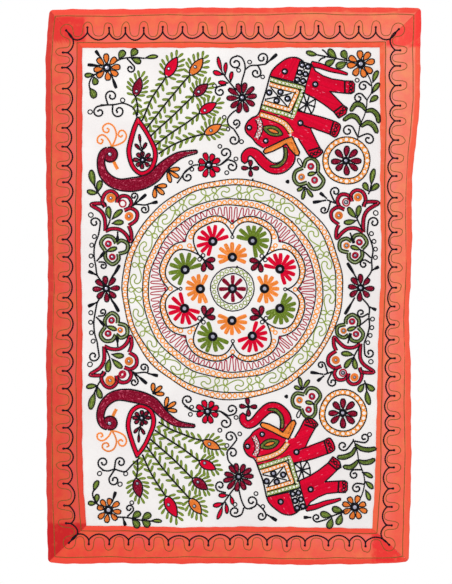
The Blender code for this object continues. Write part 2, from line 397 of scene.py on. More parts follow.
cornerBottomRight = dict(
    flower=(354.3, 507.4), reach=12.6, width=5.6, count=8, first=-70,
    stems=[[(348.1, 510.3), (341.5, 512.8), (333.2, 515.3), (327.4, 518.6)]],
    leaves=[((343.1, 511.1), (331.9, 507.6), 6), ((341.5, 513.6), (337.3, 524.5), 6),
            ((332.3, 515.3), (320.3, 512.6), 6), ((332.3, 516.9), (328.2, 528), 6)],
    curls=[((327.4, 518.6), (316.8, 517.4), 4.4, 1)], buds=[((311.6, 517.3), (303.1, 517.3))],
)


def corner(parts):
    shape = [parts[key] for key in ("flower", "reach", "width", "count", "first")]
    flower("orange", *shape, 3.8, 2.3)
    spray(parts)


def corners():
    for name, parts in (("corner_top_left", cornerTopLeft), ("corner_top_right", cornerTopRight),
                        ("corner_bottom_left", cornerBottomLeft),
                        ("corner_bottom_right", cornerBottomRight)):
        begin(name)
        corner(parts)


# Glints are painted highlights: pale stitches over the red and maroon fills, where light catches the rows
glints = dict(maroon=32, red=50, hatched=60, thickRows=4)  # chart squares of row for each of them


def glint(row, spacing):  # a few single stitches of a row that stand up, sewn in a pale thread: a painted highlight standing in for light caught on the stitches
    row = even(np.asarray(row, float), 1.0)
    for start in range(len(row) - 4):
        if random.uniform() < 1 / spacing:
            sew("rose", row[start:start + int(random.integers(2, 5))], 0.7, kind="thin", over=2.3)


# Filled forms of the peacocks, elephants and palmettes
def along(centre, widths, thread, outline="black", edge=1.4, blunt=(0.3, 0.3), openStart=False):
    # a body that tapers along its centre line, filled with rows that follow it
    centre = smooth(centre)
    place = np.linspace(0, 1, len(centre))
    half = np.interp(place, np.linspace(0, 1, len(widths)), widths) / 2
    square = sideways(centre)
    way = np.column_stack([-square[:, 1], square[:, 0]])
    left, right = centre + square * half[:, None], centre - square * half[:, None]
    if outline:
        nose = [centre[-1] + way[-1] * half[-1] * blunt[1]]
        tail = [] if openStart else [centre[0] - way[0] * half[0] * blunt[0]]
        path = np.vstack([left, nose, right[::-1], *[[p] for p in tail]])
        sew(outline, path, edge, not openStart, "chain", 1.1)
    room = np.maximum(half - edge * 0.6, 0.1)
    rows = max(1, math.ceil(2 * room.max() / rowWidth))
    for k in range(rows):
        share = 2 * (k + 0.5) / rows - 1
        kept = room * 2 > abs(share) * rows * 0.5
        runs = np.flatnonzero(np.diff(np.concatenate([[0], kept.astype(int), [0]])))
        for a, b in zip(runs[::2], runs[1::2]):
            if b - a > 2:
                path = (centre + square * (share * room)[:, None])[a:b]
                if b == len(centre):  # into the rounded end
                    path = np.vstack([path,
                                      path[-1] + way[-1] * half[-1] * blunt[1] * (1 - abs(share)) * 0.8])
                sew(thread, path, 2 * room.max() / rows * 1.3, kind="fill")
                if thread == "maroon" or (thread == "red" and rows > glints["thickRows"]):
                    glint(path, glints[thread])


def hatch(thread, outline, angle, inset=-0.1):  # straight rows that fill an outline
    p = np.asarray(outline, float)
    way = np.array([math.cos(math.radians(angle)), math.sin(math.radians(angle))])
    side = np.array([way[1], -way[0]])
    s, t = p @ side, p @ way
    for level in np.arange(s.min() + rowWidth * 0.6, s.max() - 0.2, rowWidth):
        hits = []
        for a, b, ta, tb in zip(s, np.roll(s, -1), t, np.roll(t, -1)):
            if (a - level) * (b - level) < 0:
                hits.append(ta + (tb - ta) * (level - a) / (b - a))
        hits.sort()
        for low, high in zip(hits[::2], hits[1::2]):
            if high - low > 2 * inset + 0.4:
                low, high = low + inset, high - inset
                shift = random.uniform(-0.12, 0.12)
                row = [side * (level + shift) + way * low, side * level + way * high]
                sew(thread, row, rowWidth * 1.5, kind="fill")
                if thread == "red":
                    glint(row, glints["hatched"])


def beads(thread, path, radius, gap, closed=False, width=1.25):  # a run of small rings along a path
    places = even(np.asarray(path, float), gap, closed)
    if not closed:
        places = (places[1:] + places[:-1]) / 2
    sizes = random.uniform(0.84, 1.08, len(places))
    places = places + random.uniform(-0.22, 0.22, places.shape)
    for place, size in zip(places, sizes):
        circle(thread, place, radius * size, width)


def band(path, width, thread, fullness=1.2, edge=1.1, rows=2):  # a stripe with a black line down each side
    path = smooth(path)
    square = sideways(path)
    for side in (-1, 1):
        sew("black", path + square * side * width / 2, edge, over=1.1)
    inside = width - edge * 0.4
    for k in range(rows):
        offset = ((k + 0.5) / rows - 0.5) * inside
        sew(thread, path + square * offset, inside / rows * fullness, kind="fill")


# One peacock, its tail held up behind it in six feathers
peacock = dict(
    head=(110.8, 154.6), headRadius=7.2, eye=(110.5, 154.3),
    neck=[(108.5, 150.2), (104.4, 152.4), (101.9, 156.8), (101.2, 163.8), (103.8, 173.2), (110.8, 181),
          (119.7, 184.8), (131.8, 184.4), (144.6, 181.8), (155.4, 175.9), (165.6, 165), (175.8, 157),
          (184, 153.8), (196.4, 152)],
    widths=(6, 6.6, 7.2, 7.6, 8.6, 10.2, 11.4, 13.6, 13.2, 12.2, 9.6, 7.4, 5.6, 3.2),
    beak=[(113.6, 160.4), (115.6, 165.4), (117.6, 169.4)],
    crest=[[(112.1, 146.9), (108.8, 140.5), (103, 135.4), (98, 137.4), (97.5, 142.4), (101.4, 144),
            (102.8, 140.7), (100.5, 139.6)],
           [(112, 146.9), (114.8, 141.2), (116.4, 134), (113.8, 126.3), (108.1, 123.4), (102.8, 126.8),
            (103.2, 131.6), (107.2, 132.7), (108.8, 129.6), (106.4, 128.2)],
           [(112.5, 146.3), (118.4, 144.8), (124.4, 141.2), (126.6, 135.4), (124.2, 130.6), (120.2, 130.6),
            (118.3, 134.6), (121, 136.8), (123, 134.8)]],
    drop=[(137.6, 117), (132.6, 129.1), (128.2, 143.2), (127.2, 153.4), (130, 165.5), (135.4, 172.6),
          (143.0, 175.6), (151.9, 171.6), (156.7, 162), (156.8, 150.8), (152.6, 140), (146.3, 128.4),
          (138.2, 117.2)],
    dropMiddle=(141.9, 154.8), dropInside=(0.74, 0.815),
    dropFlower=(142.7, 160.2), dropStem=[(142.6, 156), (141.6, 150), (140.2, 145)],
    dropLeaves=[((140.1, 145.4), (139.4, 133.6), 3.2), ((141, 151), (134.6, 143.9), 4.0),
                ((141.8, 150.5), (146.2, 142.0), 4.0)],
    sprigs=[((167.5, 169.9), [(180.2, 168.3), (179.2, 177.8), (170.3, 183.2)]),
            ((154.8, 186.6), [(167, 185.9), (164.2, 194.6), (155, 198.4)])],
)
feathers = [  # stem, where the eye ends, its width, the place of its mirror, thread
    ([(137.6, 116), (137.6, 106), (135.5, 96)], (139.8, 77), 10.4, (136.8, 91.2), "maroon"),
    ([(142.3, 121.2), (152.8, 97.4), (166.6, 77)], (177.2, 56.6), 11.6, (169.4, 68.9), "red"),
    ([(146.4, 129), (167.4, 101.2), (190.2, 75)], (202.5, 58.4), 10.4,
     (194.9, 67), "orange"),
    ([(150.6, 135.8), (172.5, 116), (193.8, 95.8)], (208.4, 83.6), 10.2, (198.7, 92), "maroon"),
    ([(155.2, 145), (178, 129), (200.2, 112.8)], (216.4, 103.4), 10.2, (205.3, 110.6), "red"),
    ([(158.4, 153.7), (168, 147.8), (180, 142.1), (192.8, 136.8), (204.2, 134)], (221.6, 124.6), 9.6,
     (210.6, 130.4), "orange"),
]
barb = dict(length=7.3, width=1.7, middle=1.1, gap=7.6, slant=42, line=1.35)


def barbLoop(base, angle, length):  # one small loop of chain stitch
    tip = polar(base, length, angle)[0]
    sew("lime", base + (tip - base) * np.linspace(0.35, 0.92, 3)[:, None], barb["middle"], kind="thin")
    sew("moss", loopLine(base, tip, barb["width"], 0.7, (0.9, 0.4)), barb["line"], True, "thin")


def feather(stem, tip, width, glass, thread):
    stem = smooth(stem)
    sew("black", stem, 1.8)
    places = even(stem, barb["gap"])
    square = sideways(places)
    for k in range(1, len(places)):
        for side in (-1, 1):
            forward = math.degrees(math.atan2(-square[k][0], square[k][1]))
            angle = forward + side * (barb["slant"] + random.uniform(-7, 7))
            start = places[k] + random.uniform(-1.8, -0.4) * (places[k] - places[k - 1]) / barb["gap"]
            barbLoop(start, angle, barb["length"] * random.uniform(0.9, 1.15))
    longer = 0.02 * (np.array(tip) - stem[-1])
    base, tip, width = stem[-1] - longer, tip + longer, width * 1.02
    leaf(thread, base, tip, width, 0.44, (0.5, 0.8), edge=1.4)
    line, half, _ = blade(base, tip, width, 0.44, (0.5, 0.8))
    heading = math.degrees(math.atan2(tip[1] - base[1], tip[0] - base[0]))
    for share in (0.05, 0.24, 0.43, 0.62, 0.8, 0.97):
        for side in (-1, 1):
            at = line(np.array([side * float(half(np.array(share)))]), np.array([share]))[0]
            away = heading - side * (84 - 62 * share) + random.uniform(-8, 8)
            barbLoop(at, away, barb["length"] * random.uniform(0.85, 1.05))
    mirror(glass, 1.25, 1.9, lift=0.6 * mm)


def peacockBody(p):
    along(p["neck"], p["widths"], "maroon", blunt=(0.9, 0.5), openStart=True)
    path = smooth(p["drop"])
    middle = np.array(p["dropMiddle"])
    inside = middle + (path - middle) * p["dropInside"]
    job["level"] = 0.9
    for share in (0.24, 0.5, 0.76):
        sew("red", path + (inside - path) * share, 1.8, kind="fill")
    sew("black", path, 1.4, over=1.1)
    sew("black", inside, 1.2, over=1.1)
    head = polar(p["head"], p["headRadius"], np.linspace(0, 360, 24, endpoint=False))
    hatch("maroon", head, 25)
    sew("black", polar(p["head"], p["headRadius"], np.linspace(-112, 148, 24)), 1.5, over=1.1)
    mirror(p["eye"], 1.7, 2.2, lift=0.8 * mm)
    job["level"] = 0.0
    for offset in (-0.8, 0.8):
        sew("amber", beside(p["beak"], offset), 1.9, kind="fill")
    for path in p["crest"]:
        sew("amber", smooth(path), 2.0)
    flower("maroon", p["dropFlower"], 9.6, 4.4, 8, -90, 2.6, 1.3)
    sew("black", smooth(p["dropStem"]), 1.4)
    for base, tip, width in p["dropLeaves"]:
        leaf("maroon", base, tip, width)
    for base, tips in p["sprigs"]:
        for tip in tips:
            leaf("amber", base, tip, 5.2, 0.66, (1.1, 0.45))


# The pairs of places that carry an upper motif to its lower, mirrored copy
lowerPeacock = affine([((110.8, 154.6), (108.9, 423.6)), ((196.4, 152.1), (193, 426.4)),
                       ((137.6, 117), (138.2, 457.4)), ((143, 176.2), (143.3, 402.6)),
                       ((142.7, 159.1), (140.8, 418.6))])
lowerFeathers = affine([((137.6, 117), (138.2, 457.4)), ((143, 176.2), (143.3, 402.6)),
                        ((139.6, 77.2), (140.8, 494.9)), ((177, 57.3), (174.8, 516)),
                        ((202, 59.3), (202.2, 516.4)), ((207.7, 84.3), (206.7, 491.1)),
                        ((220.8, 125.3), (220, 446.0)), ((215.3, 104.2), (214, 467.5))])
scrollsLeft = dict(
    stems=[[(137.2, 117.4), (135, 111.3), (131.4, 106.8), (122.8, 103.4), (114.6, 104.7), (107, 105.2),
            (100.3, 104.9)]],
    curls=[((107.4, 105), (99.4, 112.0), 6.0, -1), ((107.6, 105.0), (111.4, 96.6), 5.9, 1),
           ((112.4, 104.9), (118.4, 111.0), 6.3, -1)],
    loops=[(90.6, 111.6, 2.2), (122.3, 100.4, 2.2)],
)
scrollsLower = dict(
    stems=[[(140.4, 457.7), (133, 464.4), (126, 471.2), (120, 470.7), (114.2, 469.2), (108, 470.8),
            (101.6, 470)]],
    curls=[((103.4, 470.4), (103, 462.6), 5.6, 1), ((114.2, 469.2), (120.8, 462.3), 5.4, 1),
           ((114.6, 469.4), (114.6, 479.6), 5.6, -1)],
    loops=[(99.4, 473.2, 2.1), (125.9, 473.6, 2.0), (120.6, 483.6, 2.1)],
)


def peacocks():
    top, bottom = ("top", None, None, scrollsLeft), ("bottom", lowerPeacock, lowerFeathers, scrollsLower)
    for name, body, tail, scrolls in (top, bottom):
        begin("peacock_" + name, body)
        peacockBody(peacock)
        begin("feathers_" + name, tail)
        for stem, tip, width, glass, thread in feathers:
            feather(stem, tip, width, glass, thread)
        begin("scrolls_" + name)
        spray(scrolls)


# The left-hand column between the corner flowers and the middle
leftColumn = dict(
    stems=[[(94.4, 184.8), (97.6, 191.8), (101.7, 199.1)],
           [(132.7, 206), (136.5, 204.4), (144.9, 205.2), (150, 203.7)],
           [(98.3, 235.8), (95.2, 245), (94.4, 255.7), (96, 266.4), (97.5, 274.8), (101.3, 280.6),
            (105, 285)],
           [(105.9, 229.7), (108.6, 225), (110.5, 219.7)], [(109, 283), (112, 276), (114, 272.8)]],
    leaves=[((95.6, 186.8), (91.4, 169.7), 6), ((98.3, 192.2), (101.6, 180.2), 5.5),
            ((98.6, 193), (86.9, 191.4), 4.8), ((110.5, 219.7), (107.8, 206.5), 5.5),
            ((112, 219.7), (122.8, 210), 5), ((112, 223.6), (124.5, 222), 5)],
    curls=[((133.6, 205.0), (134.6, 196.0), 4.0, -1), ((148, 205.4), (144.4, 209.8), 4.2, 1),
           ((98.3, 235.8), (94.6, 222.4), 5.6, -1), ((98.6, 262), (103.2, 265.6), 3.6, 1)],
    loops=[(91, 214.6, 2.3), (94.2, 236.9, 2.0), (92, 245.4, 2.0), (91.2, 256.0, 2.0), (91.6, 265.3, 2.0)],
    buds=[((135, 204.4), (147, 194)), ((148, 204.2), (158, 201.6)), ((98.3, 275.6), (88.5, 271.2)),
          ((110, 280.4), (119.6, 264.6)), ((118.1, 231), (117.4, 242.2)), ((96.7, 261.4), (106, 251.8))],
)
palmetteLeft = dict(
    lobes=[[(104.6, 207.6), (102.0, 200.6), (105.6, 193.4), (112, 191.6), (117.2, 196.2), (116.6, 203.4)],
           [(116.8, 201.4), (121.4, 196.6), (128.1, 196.8), (131.6, 202.4), (129.6, 208.2)],
           [(124.3, 210.6), (131.2, 208.4), (137.0, 212.8), (136.3, 220.3), (129.3, 225.4)]],
    horns=[[(105.2, 206.9), (102.6, 203.6), (91.4, 204.2), (100.8, 211.0), (104.9, 219), (105.3, 231.4)],
           [(105.3, 231.4), (112, 228.7), (120, 229.2), (126, 234), (130.2, 241.4), (131.4, 233),
            (129.3, 225.4)]],
    discs=[((110.6, 198.6), 4.7, "orange"), ((129.4, 216.4), 4.3, "orange")],
    rings=[((122.6, 203.9), 3.4, 0)],
)
trefoilLeft = dict(
    lobes=[[(105.9, 251.1), (101.3, 243.5), (105.6, 237), (112.6, 237.4), (116.4, 243.4)],
           [(116.4, 243.4), (121.4, 240.2), (127.3, 244), (126.4, 251.4), (118.9, 254)],
           [(105.9, 251.8), (106.2, 258.8), (112.4, 264), (118.4, 260), (118.6, 254)]],
    discs=[((108.8, 244.2), 3.6, "red"), ((120.8, 247.6), 2.9, "orange"), ((112.6, 257), 3.4, "red")],
    leaf=((105.9, 251.9), (117.6, 247.8), 3.6),
)
rightColumn = dict(
    stems=[[(371.2, 184.3), (370.2, 190), (368.6, 194.6)], [(335.3, 203.6), (326.4, 199.6)],
           [(367.2, 232.7), (371, 242.3), (372.6, 250.6), (371.7, 260.2), (372, 270.4), (364.6, 280.6)],
           [(363.4, 230.6), (360, 224.6), (357, 218.1)], [(360.8, 250.6), (366, 254), (371, 258.2)]],
    leaves=[((371.2, 185.3), (374.5, 168.6), 5.2), ((368.7, 191.4), (363.5, 182), 5.4),
            ((370.7, 191.4), (379, 184), 5.4), ((357, 218.1), (347.4, 207), 5.2),
            ((357.6, 218.1), (360, 205.4), 5.2), ((357, 220), (343.8, 222.2), 5.0)],
    curls=[((334.6, 203.4), (335.4, 192.2), 5.0, 1), ((330, 201.6), (323.6, 209.6), 4.0, 1),
           ((367.2, 232.7), (373.6, 222.6), 5.4, 1), ((371, 263.3), (363.8, 264.4), 4.4, -1)],
    loops=[(375.5, 213.4, 2.3), (371.3, 233.4, 2.0), (373.8, 241, 2.0), (375.2, 248.9, 2.0),
           (375.4, 257.5, 2.0)],
    buds=[((326.8, 198.6), (319.9, 192.2)), ((326, 200), (312.5, 202.1)), ((350.3, 232.4), (353.6, 243.9)),
          ((357.6, 280.3), (347, 262.6)), ((372.3, 270.4), (379.6, 266.8))],
)
palmetteRight = dict(
    lobes=[[(363.8, 207.4), (366.0, 199.4), (362.9, 192.2), (356.4, 190.2), (351.2, 194.6), (351.8, 201.8)],
           [(351.8, 200.0), (347.2, 195.4), (340.4, 195.4), (336.8, 201), (338.8, 207)],
           [(344.2, 209.4), (337.2, 207.2), (331.2, 211.4), (331.8, 219), (339, 224.6)]],
    horns=[[(363.4, 206.4), (366.6, 202.6), (378.6, 203), (367.8, 210.6), (363.6, 218.6), (363.4, 232.4)],
           [(363.4, 232.4), (356.4, 228.2), (348.4, 228.4), (342.4, 232.6), (336.6, 238.4), (336.4, 231),
            (339, 224.6)]],
    discs=[((358.2, 197.4), 4.2, "orange"), ((338.6, 215.4), 4.0, "orange")],
    rings=[((345.8, 202.4), 3.6, 1.4)],
)
trefoilRight = dict(
    lobes=[[(361.4, 249.6), (366.4, 242.6), (362.4, 235.4), (355.2, 235.6), (351.4, 241.8)],
           [(351.4, 241.8), (346.2, 238.6), (340.0, 242.0), (340.6, 249.8), (348.4, 252.8)],
           [(361.4, 250.6), (361.6, 257.4), (355.4, 262.6), (349.2, 259.0), (348.6, 252.8)]],
    discs=[((359.0, 242.6), 3.5, "red"), ((346.4, 245.8), 3.3, "orange"), ((355, 255.8), 3.5, "red")],
    leaf=((360.8, 250.6), (350.0, 246.6), 3.6),
)
lowerLeft = affine([((91.4, 171.5), (90.5, 408)), ((110.5, 198.3), (110, 380)),
                    ((129.2, 216.3), (129, 361.5)), ((96, 266.4), (95.5, 311)),
                    ((108.6, 243.5), (108, 334.5))])
lowerRight = affine([((374.3, 170), (369.5, 404)), ((358.9, 196.7), (354.5, 377)),
                     ((338.2, 215.2), (335.5, 360.5)), ((372, 270.4), (369, 307.5)),
                     ((359.2, 241.7), (356, 334))])


def palmette(parts, filled):
    for path in parts["lobes"] + parts["horns"]:
        band(path, 3.0, "crimson")
    for centre, radius, thread in parts["discs"]:
        for share in (0.84, 0.5):
            circle(thread, centre, radius * share, 1.9, "fill")
        mirror(centre, 1.3, 1.5, lift=0.3 * mm)
    for centre, radius, glass in parts["rings"]:
        circle("crimson", centre, radius, 1.7, "fill")
        if filled:
            circle("crimson", centre, radius * 0.55, 1.7, "fill")
        if glass:
            mirror(centre, glass, glass + 0.8, lift=0.3 * mm)


def trefoil(parts):
    for path in parts["lobes"]:
        band(path, 3.1, "green", fullness=1.0)
    for centre, radius, thread in parts["discs"]:
        circle("crimson" if thread == "red" else "amber", centre, radius * 0.74, 2.0, "fill")
        mirror(centre, 1.4, 1.7, lift=0.3 * mm)
    leaf("green", *parts["leaf"][:2], parts["leaf"][2] * 1.45)


def columns():
    twoDiscs = dict(trefoilLeft, discs=trefoilLeft["discs"][::2])
    for name, move, growth, palm, filled, foil in (
            ("left_top", None, leftColumn, palmetteLeft, False, twoDiscs),
            ("left_bottom", lowerLeft, leftColumn, palmetteLeft, True, trefoilLeft),
            ("right_top", None, rightColumn, palmetteRight, False, trefoilRight),
            ("right_bottom", lowerRight, rightColumn, palmetteRight, False, trefoilRight)):
        begin("column_" + name, move)
        spray(growth)
        palmette(palm, filled)
        trefoil(foil)
    begin("side_flowers")
    flower("maroon", (106.3, 288.5), 13.7, 5.4, 8, -94, 3.1, 1.7)
    flower("maroon", (360.8, 287.5), 13.7, 5.4, 8, -90, 3.1, 1.7)


# Growths of the upper and lower middle
middleTop = dict(
    stems=[[(222.4, 72.6), (227.6, 79.7), (230.1, 82.8), (236.4, 90)],
           [(240.8, 86), (241.8, 79.7), (244.9, 69.5), (244.6, 62.4), (241.8, 57.3), (236.7, 55.5)],
           [(245.2, 69.4), (250.5, 65.4), (257.7, 64.9), (265.8, 63.9)],
           [(239.6, 108), (232.9, 112), (227.6, 119), (229, 125), (234.2, 129.1)],
           [(216, 165), (220.8, 164.8), (228.5, 159.7)], [(200, 165), (192.8, 165.5), (184.6, 171.2)],
           [(185, 171), (181.4, 177), (176.6, 183.4)]],
    redLeaves=[((222.4, 72.6), (218.0, 56.6), 4.6), ((225.5, 75.6), (226.5, 62.6), 4.4),
               ((223.5, 74.8), (212.8, 71.0), 5.4), ((228.6, 82.8), (218.4, 82), 5),
               ((230.6, 82.3), (232.2, 71.6), 4.4)],
    curls=[((226.5, 84.8), (220.4, 91.6), 5.4, -1), ((238, 56), (236.2, 63.4), 6.4, -1),
           ((265.8, 63.9), (261.8, 57.8), 5.6, -1), ((257.7, 64.9), (255.6, 73.0), 5.4, 1),
           ((234.2, 129.1), (233.8, 139.4), 5.6, 1), ((236.1, 128.6), (236.4, 123.2), 4.2, -1),
           ((220.8, 164.8), (225.6, 152.8), 6.0, -1), ((228.5, 159.7), (231.6, 166.8), 5.6, 1),
           ((192, 165.6), (187.8, 176.8), 5.4, -1)],
    loops=[(215, 85.6, 1.9), (238.5, 70.4, 1.9), (249.7, 61.6, 1.9), (262.6, 77.1, 1.9), (224.1, 117.5, 1.8),
           (228.1, 128.9, 1.8), (241.5, 141.7, 1.9), (220.0, 146.0, 1.9), (236.2, 159, 1.9),
           (226.6, 173.0, 1.9), (190.3, 162.4, 1.9), (191.7, 169.2, 1.8)],
    buds=[((265.4, 64), (277, 53.9))],
)
middleBottom = dict(
    stems=[[(239, 488.8), (241.6, 501.5), (245.4, 508.5), (252, 508.8)],
           [(243.5, 507.9), (240.9, 514.9), (235.2, 517.5)],
           [(257, 504), (262.6, 509.2), (266, 514)], [(235.6, 468), (228.6, 461), (226.9, 452.5)],
           [(228, 450), (232.4, 445), (236.5, 439.7)], [(215, 411.5), (220.8, 411.4), (228.5, 416)],
           [(200, 411.8), (192.8, 411.4), (184.6, 406)], [(222.4, 504.6), (227.6, 497.6), (235.6, 487.6)]],
    redLeaves=[((222.4, 504.6), (217.6, 519.6), 4.6), ((225.5, 501.6), (227, 514), 4.4),
               ((223.5, 502.4), (212.8, 505.6), 5.4), ((228.6, 494.8), (218.4, 495), 5),
               ((230.6, 495.3), (232.8, 505), 4.4)],
    curls=[((249, 508.9), (251.6, 501.8), 5.8, -1), ((240.9, 514.9), (234.8, 511.6), 5.6, 1),
           ((262.6, 509.2), (261.4, 516), 4.9, 1), ((227, 455), (232.4, 453.0), 5.6, 1),
           ((236.5, 439.7), (229.8, 437.4), 5.4, -1), ((220.8, 411.4), (225.6, 423.4), 6.0, 1),
           ((228.5, 416), (231.6, 409.4), 5.6, -1), ((192, 411.2), (187.8, 400.2), 5.4, 1),
           ((226.5, 492.8), (220.4, 486), 5.2, 1)],
    loops=[(234.9, 504.7, 1.9), (255.9, 494.1, 1.9), (262.9, 506.9, 1.9), (239.5, 434.2, 1.9),
           (226.6, 445.8, 1.9), (220.0, 430.6, 1.9), (236.2, 417.6, 1.9), (190.3, 414.6, 1.9),
           (191.7, 407.6, 1.8)],
    buds=[((266.4, 514.6), (277, 521.2))],
)


def middles():
    begin("middle_top")
    spray(middleTop)
    flower("maroon", (242.1, 97.1), 16, 5.4, 10, -112, 3.3, 1.8, 3.0)
    flower("red", (208.7, 165.2), 12.7, 5.6, 8, -112, 3.3, 1.8)
    flower("maroon", (250.3, 168), 9.2, 4.6, 4, -90, 0.6, 0)
    begin("middle_bottom")
    spray(middleBottom)
    flower("maroon", (238.7, 477), 15.6, 5.2, 11, -100, 3.3, 1.8, 3.0)
    flower("red", (207.6, 411.7), 12.4, 5.6, 8, -68, 3.3, 1.8)
    flower("maroon", (248, 406.7), 9.2, 4.6, 4, -90, 0.6, 0)


# One elephant in its trappings, walking up the cloth's side
elephant = dict(
    rump=[(270.3, 75.9), (272.4, 71.4), (277.6, 65.2), (283.7, 60.2), (289, 57.9), (295, 57.4),
          (300.2, 60.4), (293.4, 81.6)],
    haunch=[(311.4, 64.9), (314.9, 71.3), (323, 76.1), (332.2, 79.6), (344.2, 81.3), (352, 81.2),
            (354.2, 84), (353.9, 92), (351, 93.8), (344.2, 93.4), (329.9, 91.7), (336, 98), (342.5, 104.9),
            (346.8, 107.7), (345.4, 113.4), (338.4, 118), (333.3, 111.7), (324, 104.4), (315.5, 98.5),
            (304.2, 93), (305.4, 86.0)],
    tail=[(311.2, 64.6), (320, 66.2), (331, 70), (340, 72.2), (347, 74.2)],
    tailWidths=(5.6, 5.2, 4.4, 3.4, 2.2),
    front=[(297.5, 111.2), (312.4, 114.9), (329.6, 120.1), (337, 122.6), (340.4, 126), (338.6, 132.5),
           (334.8, 137.2), (328.6, 134.4), (319, 131), (310.7, 128.1), (314.7, 138.5), (319.6, 147.6),
           (322.6, 152), (316, 157.6), (309.6, 157), (303.6, 146.6), (298.6, 137.9), (294.4, 137.2),
           (291, 133.6), (285, 126.6), (276, 121), (258.6, 115.6), (261.2, 109.2), (293.2, 119.6)],
    head=[(259.6, 115.4), (255.6, 116.4), (252.4, 117.8), (248.4, 121.6), (245.6, 127.9), (247, 133.5),
          (252.1, 138.4), (256.5, 143.9), (262.9, 148), (270, 146), (277.3, 143.6), (290.4, 136.9),
          (284, 126.8), (274.9, 121.4)],
    spine=[(303.4, 62.2), (299.6, 59.4), (295, 57.6), (289, 57.9), (283.7, 60.2), (275, 67.4), (270.3, 75.5),
           (265.0, 95.4), (262.2, 103.8), (259.6, 111.4), (256.6, 115.8), (252.4, 117.8), (248.4, 121.6)],
    trunk=[(287.6, 143.6), (289.6, 151), (288.9, 160.6), (281.6, 167.4), (272.2, 168), (263.6, 162),
           (256.3, 154.2), (250, 151.4), (245.2, 155), (244.6, 161)],
    trunkWidths=(9.6, 10.2, 10.6, 10.8, 10.4, 9.8, 9, 7.8, 6.8, 6.2),
    trunkStripe=[(285.4, 148.2), (285.8, 154), (284.2, 160.8), (278.6, 165.8), (270.6, 166.4)],
    tusk=[(262.8, 151.4), (264.8, 148.6), (276, 144), (286, 138.8), (292.4, 136.4), (296, 144),
          (299.6, 152.6), (298.2, 155.8), (295, 155), (290.6, 149.8), (286.6, 144), (281.5, 147.5),
          (272.6, 151.6), (264.8, 153.6)],
    collar=[(260.2, 114.2), (268, 116.2), (276.2, 119.2), (284.8, 124.4), (291.8, 132.6)],
    headband=[(257.4, 118.4), (260.0, 124), (259.8, 131), (256.2, 138.8)],
    ear=((262.2, 126.8), (283.4, 135)), earMiddle=((267.0, 128.8), (279.2, 133.4)),
    saddle=[(270.4, 79), (303.0, 88.2), (293.2, 116.9), (261.8, 106.6)],
    girth=[(269.6, 84), (297.2, 91.6), (289.4, 110.2), (264.6, 102.4)],
    cross=[[(270.6, 87.4), (287.0, 106.6)], [(265.3, 99.4), (279.1, 96.6), (291.3, 93.4)]],
    saddleMirrors=[(269.6, 92.8), (280.4, 92), (287.3, 99), (276.9, 100.8)],
    sixBand=[(299.6, 61.5), (311.3, 64.9), (305.4, 86), (293.9, 82)],
    sixMirrors=[(301.9, 65.5), (307.6, 67.2), (299.6, 72.8), (305.4, 74.4), (297.3, 79.7), (303.0, 81.0)],
    bodyMirrors=[(285.3, 71), (315.5, 84.2), (300.6, 123)], headMirrors=[(249.8, 128.2), (265.6, 141)],
    chestLine=[(300.6, 123), (305, 126), (310.7, 128.1)],
    net=(306.8, 104.2),
    netTips=[(302.8, 92.9), (309.2, 95), (315.6, 98.7), (314.6, 106.6), (311.8, 113.4), (304.7, 112.7),
             (299.4, 110), (300.6, 102)],
    anklets=[[(344.6, 81.3), (344.8, 93.4)], [(333.6, 111.9), (342.5, 104.9)],
             [(333.4, 121.8), (329.3, 134.6)],
             [(308, 151), (319.3, 147.6)]],
    toes=[(350.3, 84), (351, 88), (350.3, 91.6), (343.6, 108.4), (341, 111.8), (337.8, 114.4), (336.4, 126),
          (335.2, 130.2), (333.2, 133.4), (319, 151.2), (315.3, 153.6), (311.4, 154.6)],
)
elephantFoil = dict(
    lobes=[[(317.6, 172.9), (317.4, 164), (312, 158.8), (305.6, 160.6), (302.6, 168.3)],
           [(302.6, 168.3), (295.6, 171.4), (293.9, 178.6), (298.4, 184.4), (307.2, 183)],
           [(307.2, 183), (312.4, 188.4), (320, 187.4), (323.9, 180.6), (318.1, 173.2)]],
    discs=[((310.4, 167), 3.7, "red"), ((301.4, 177.3), 3.7, "orange"), ((314.9, 180.4), 3.7, "red")],
    leaf=((317.6, 172.9), (307.2, 175.2), 3.4), dot=(287.4, 181.2), loop=((302.1, 167.7), (297.6, 158.6)),
)
lowerElephant = affine([((249.8, 128.2), (247.2, 447.6)), ((265.6, 141), (262.9, 434.6)),
                        ((285.3, 71), (280.8, 502.2)), ((300.6, 123), (297.1, 451.8)),
                        ((315.5, 84.2), (310.8, 487.5)), ((353.4, 81.9), (346.6, 492.4)),
                        ((319.3, 147.6), (313.8, 427.8)), ((244.4, 160.4), (242.5, 415)),
                        ((338.2, 132.1), (332.6, 443.6))])
lowerFoil = affine([((311, 166.6), (309, 409.9)), ((300.9, 177.5), (299, 399.5)),
                    ((317.6, 172.9), (314.6, 403.6))])


def patchBand(corners, thread, width):  # a saddle band, open on the spine side: rings between two lines
    path = even(np.array(corners, float), 1.0)
    square = sideways(path)
    for side in (-1, 1):
        sew("black", path + square * side * width / 2, 1.0)
        sew(thread, path + square * side * (width / 2 - 0.7), 0.7, kind="thin")
    beads(thread, path, 1.65, 3.9, width=1.0)


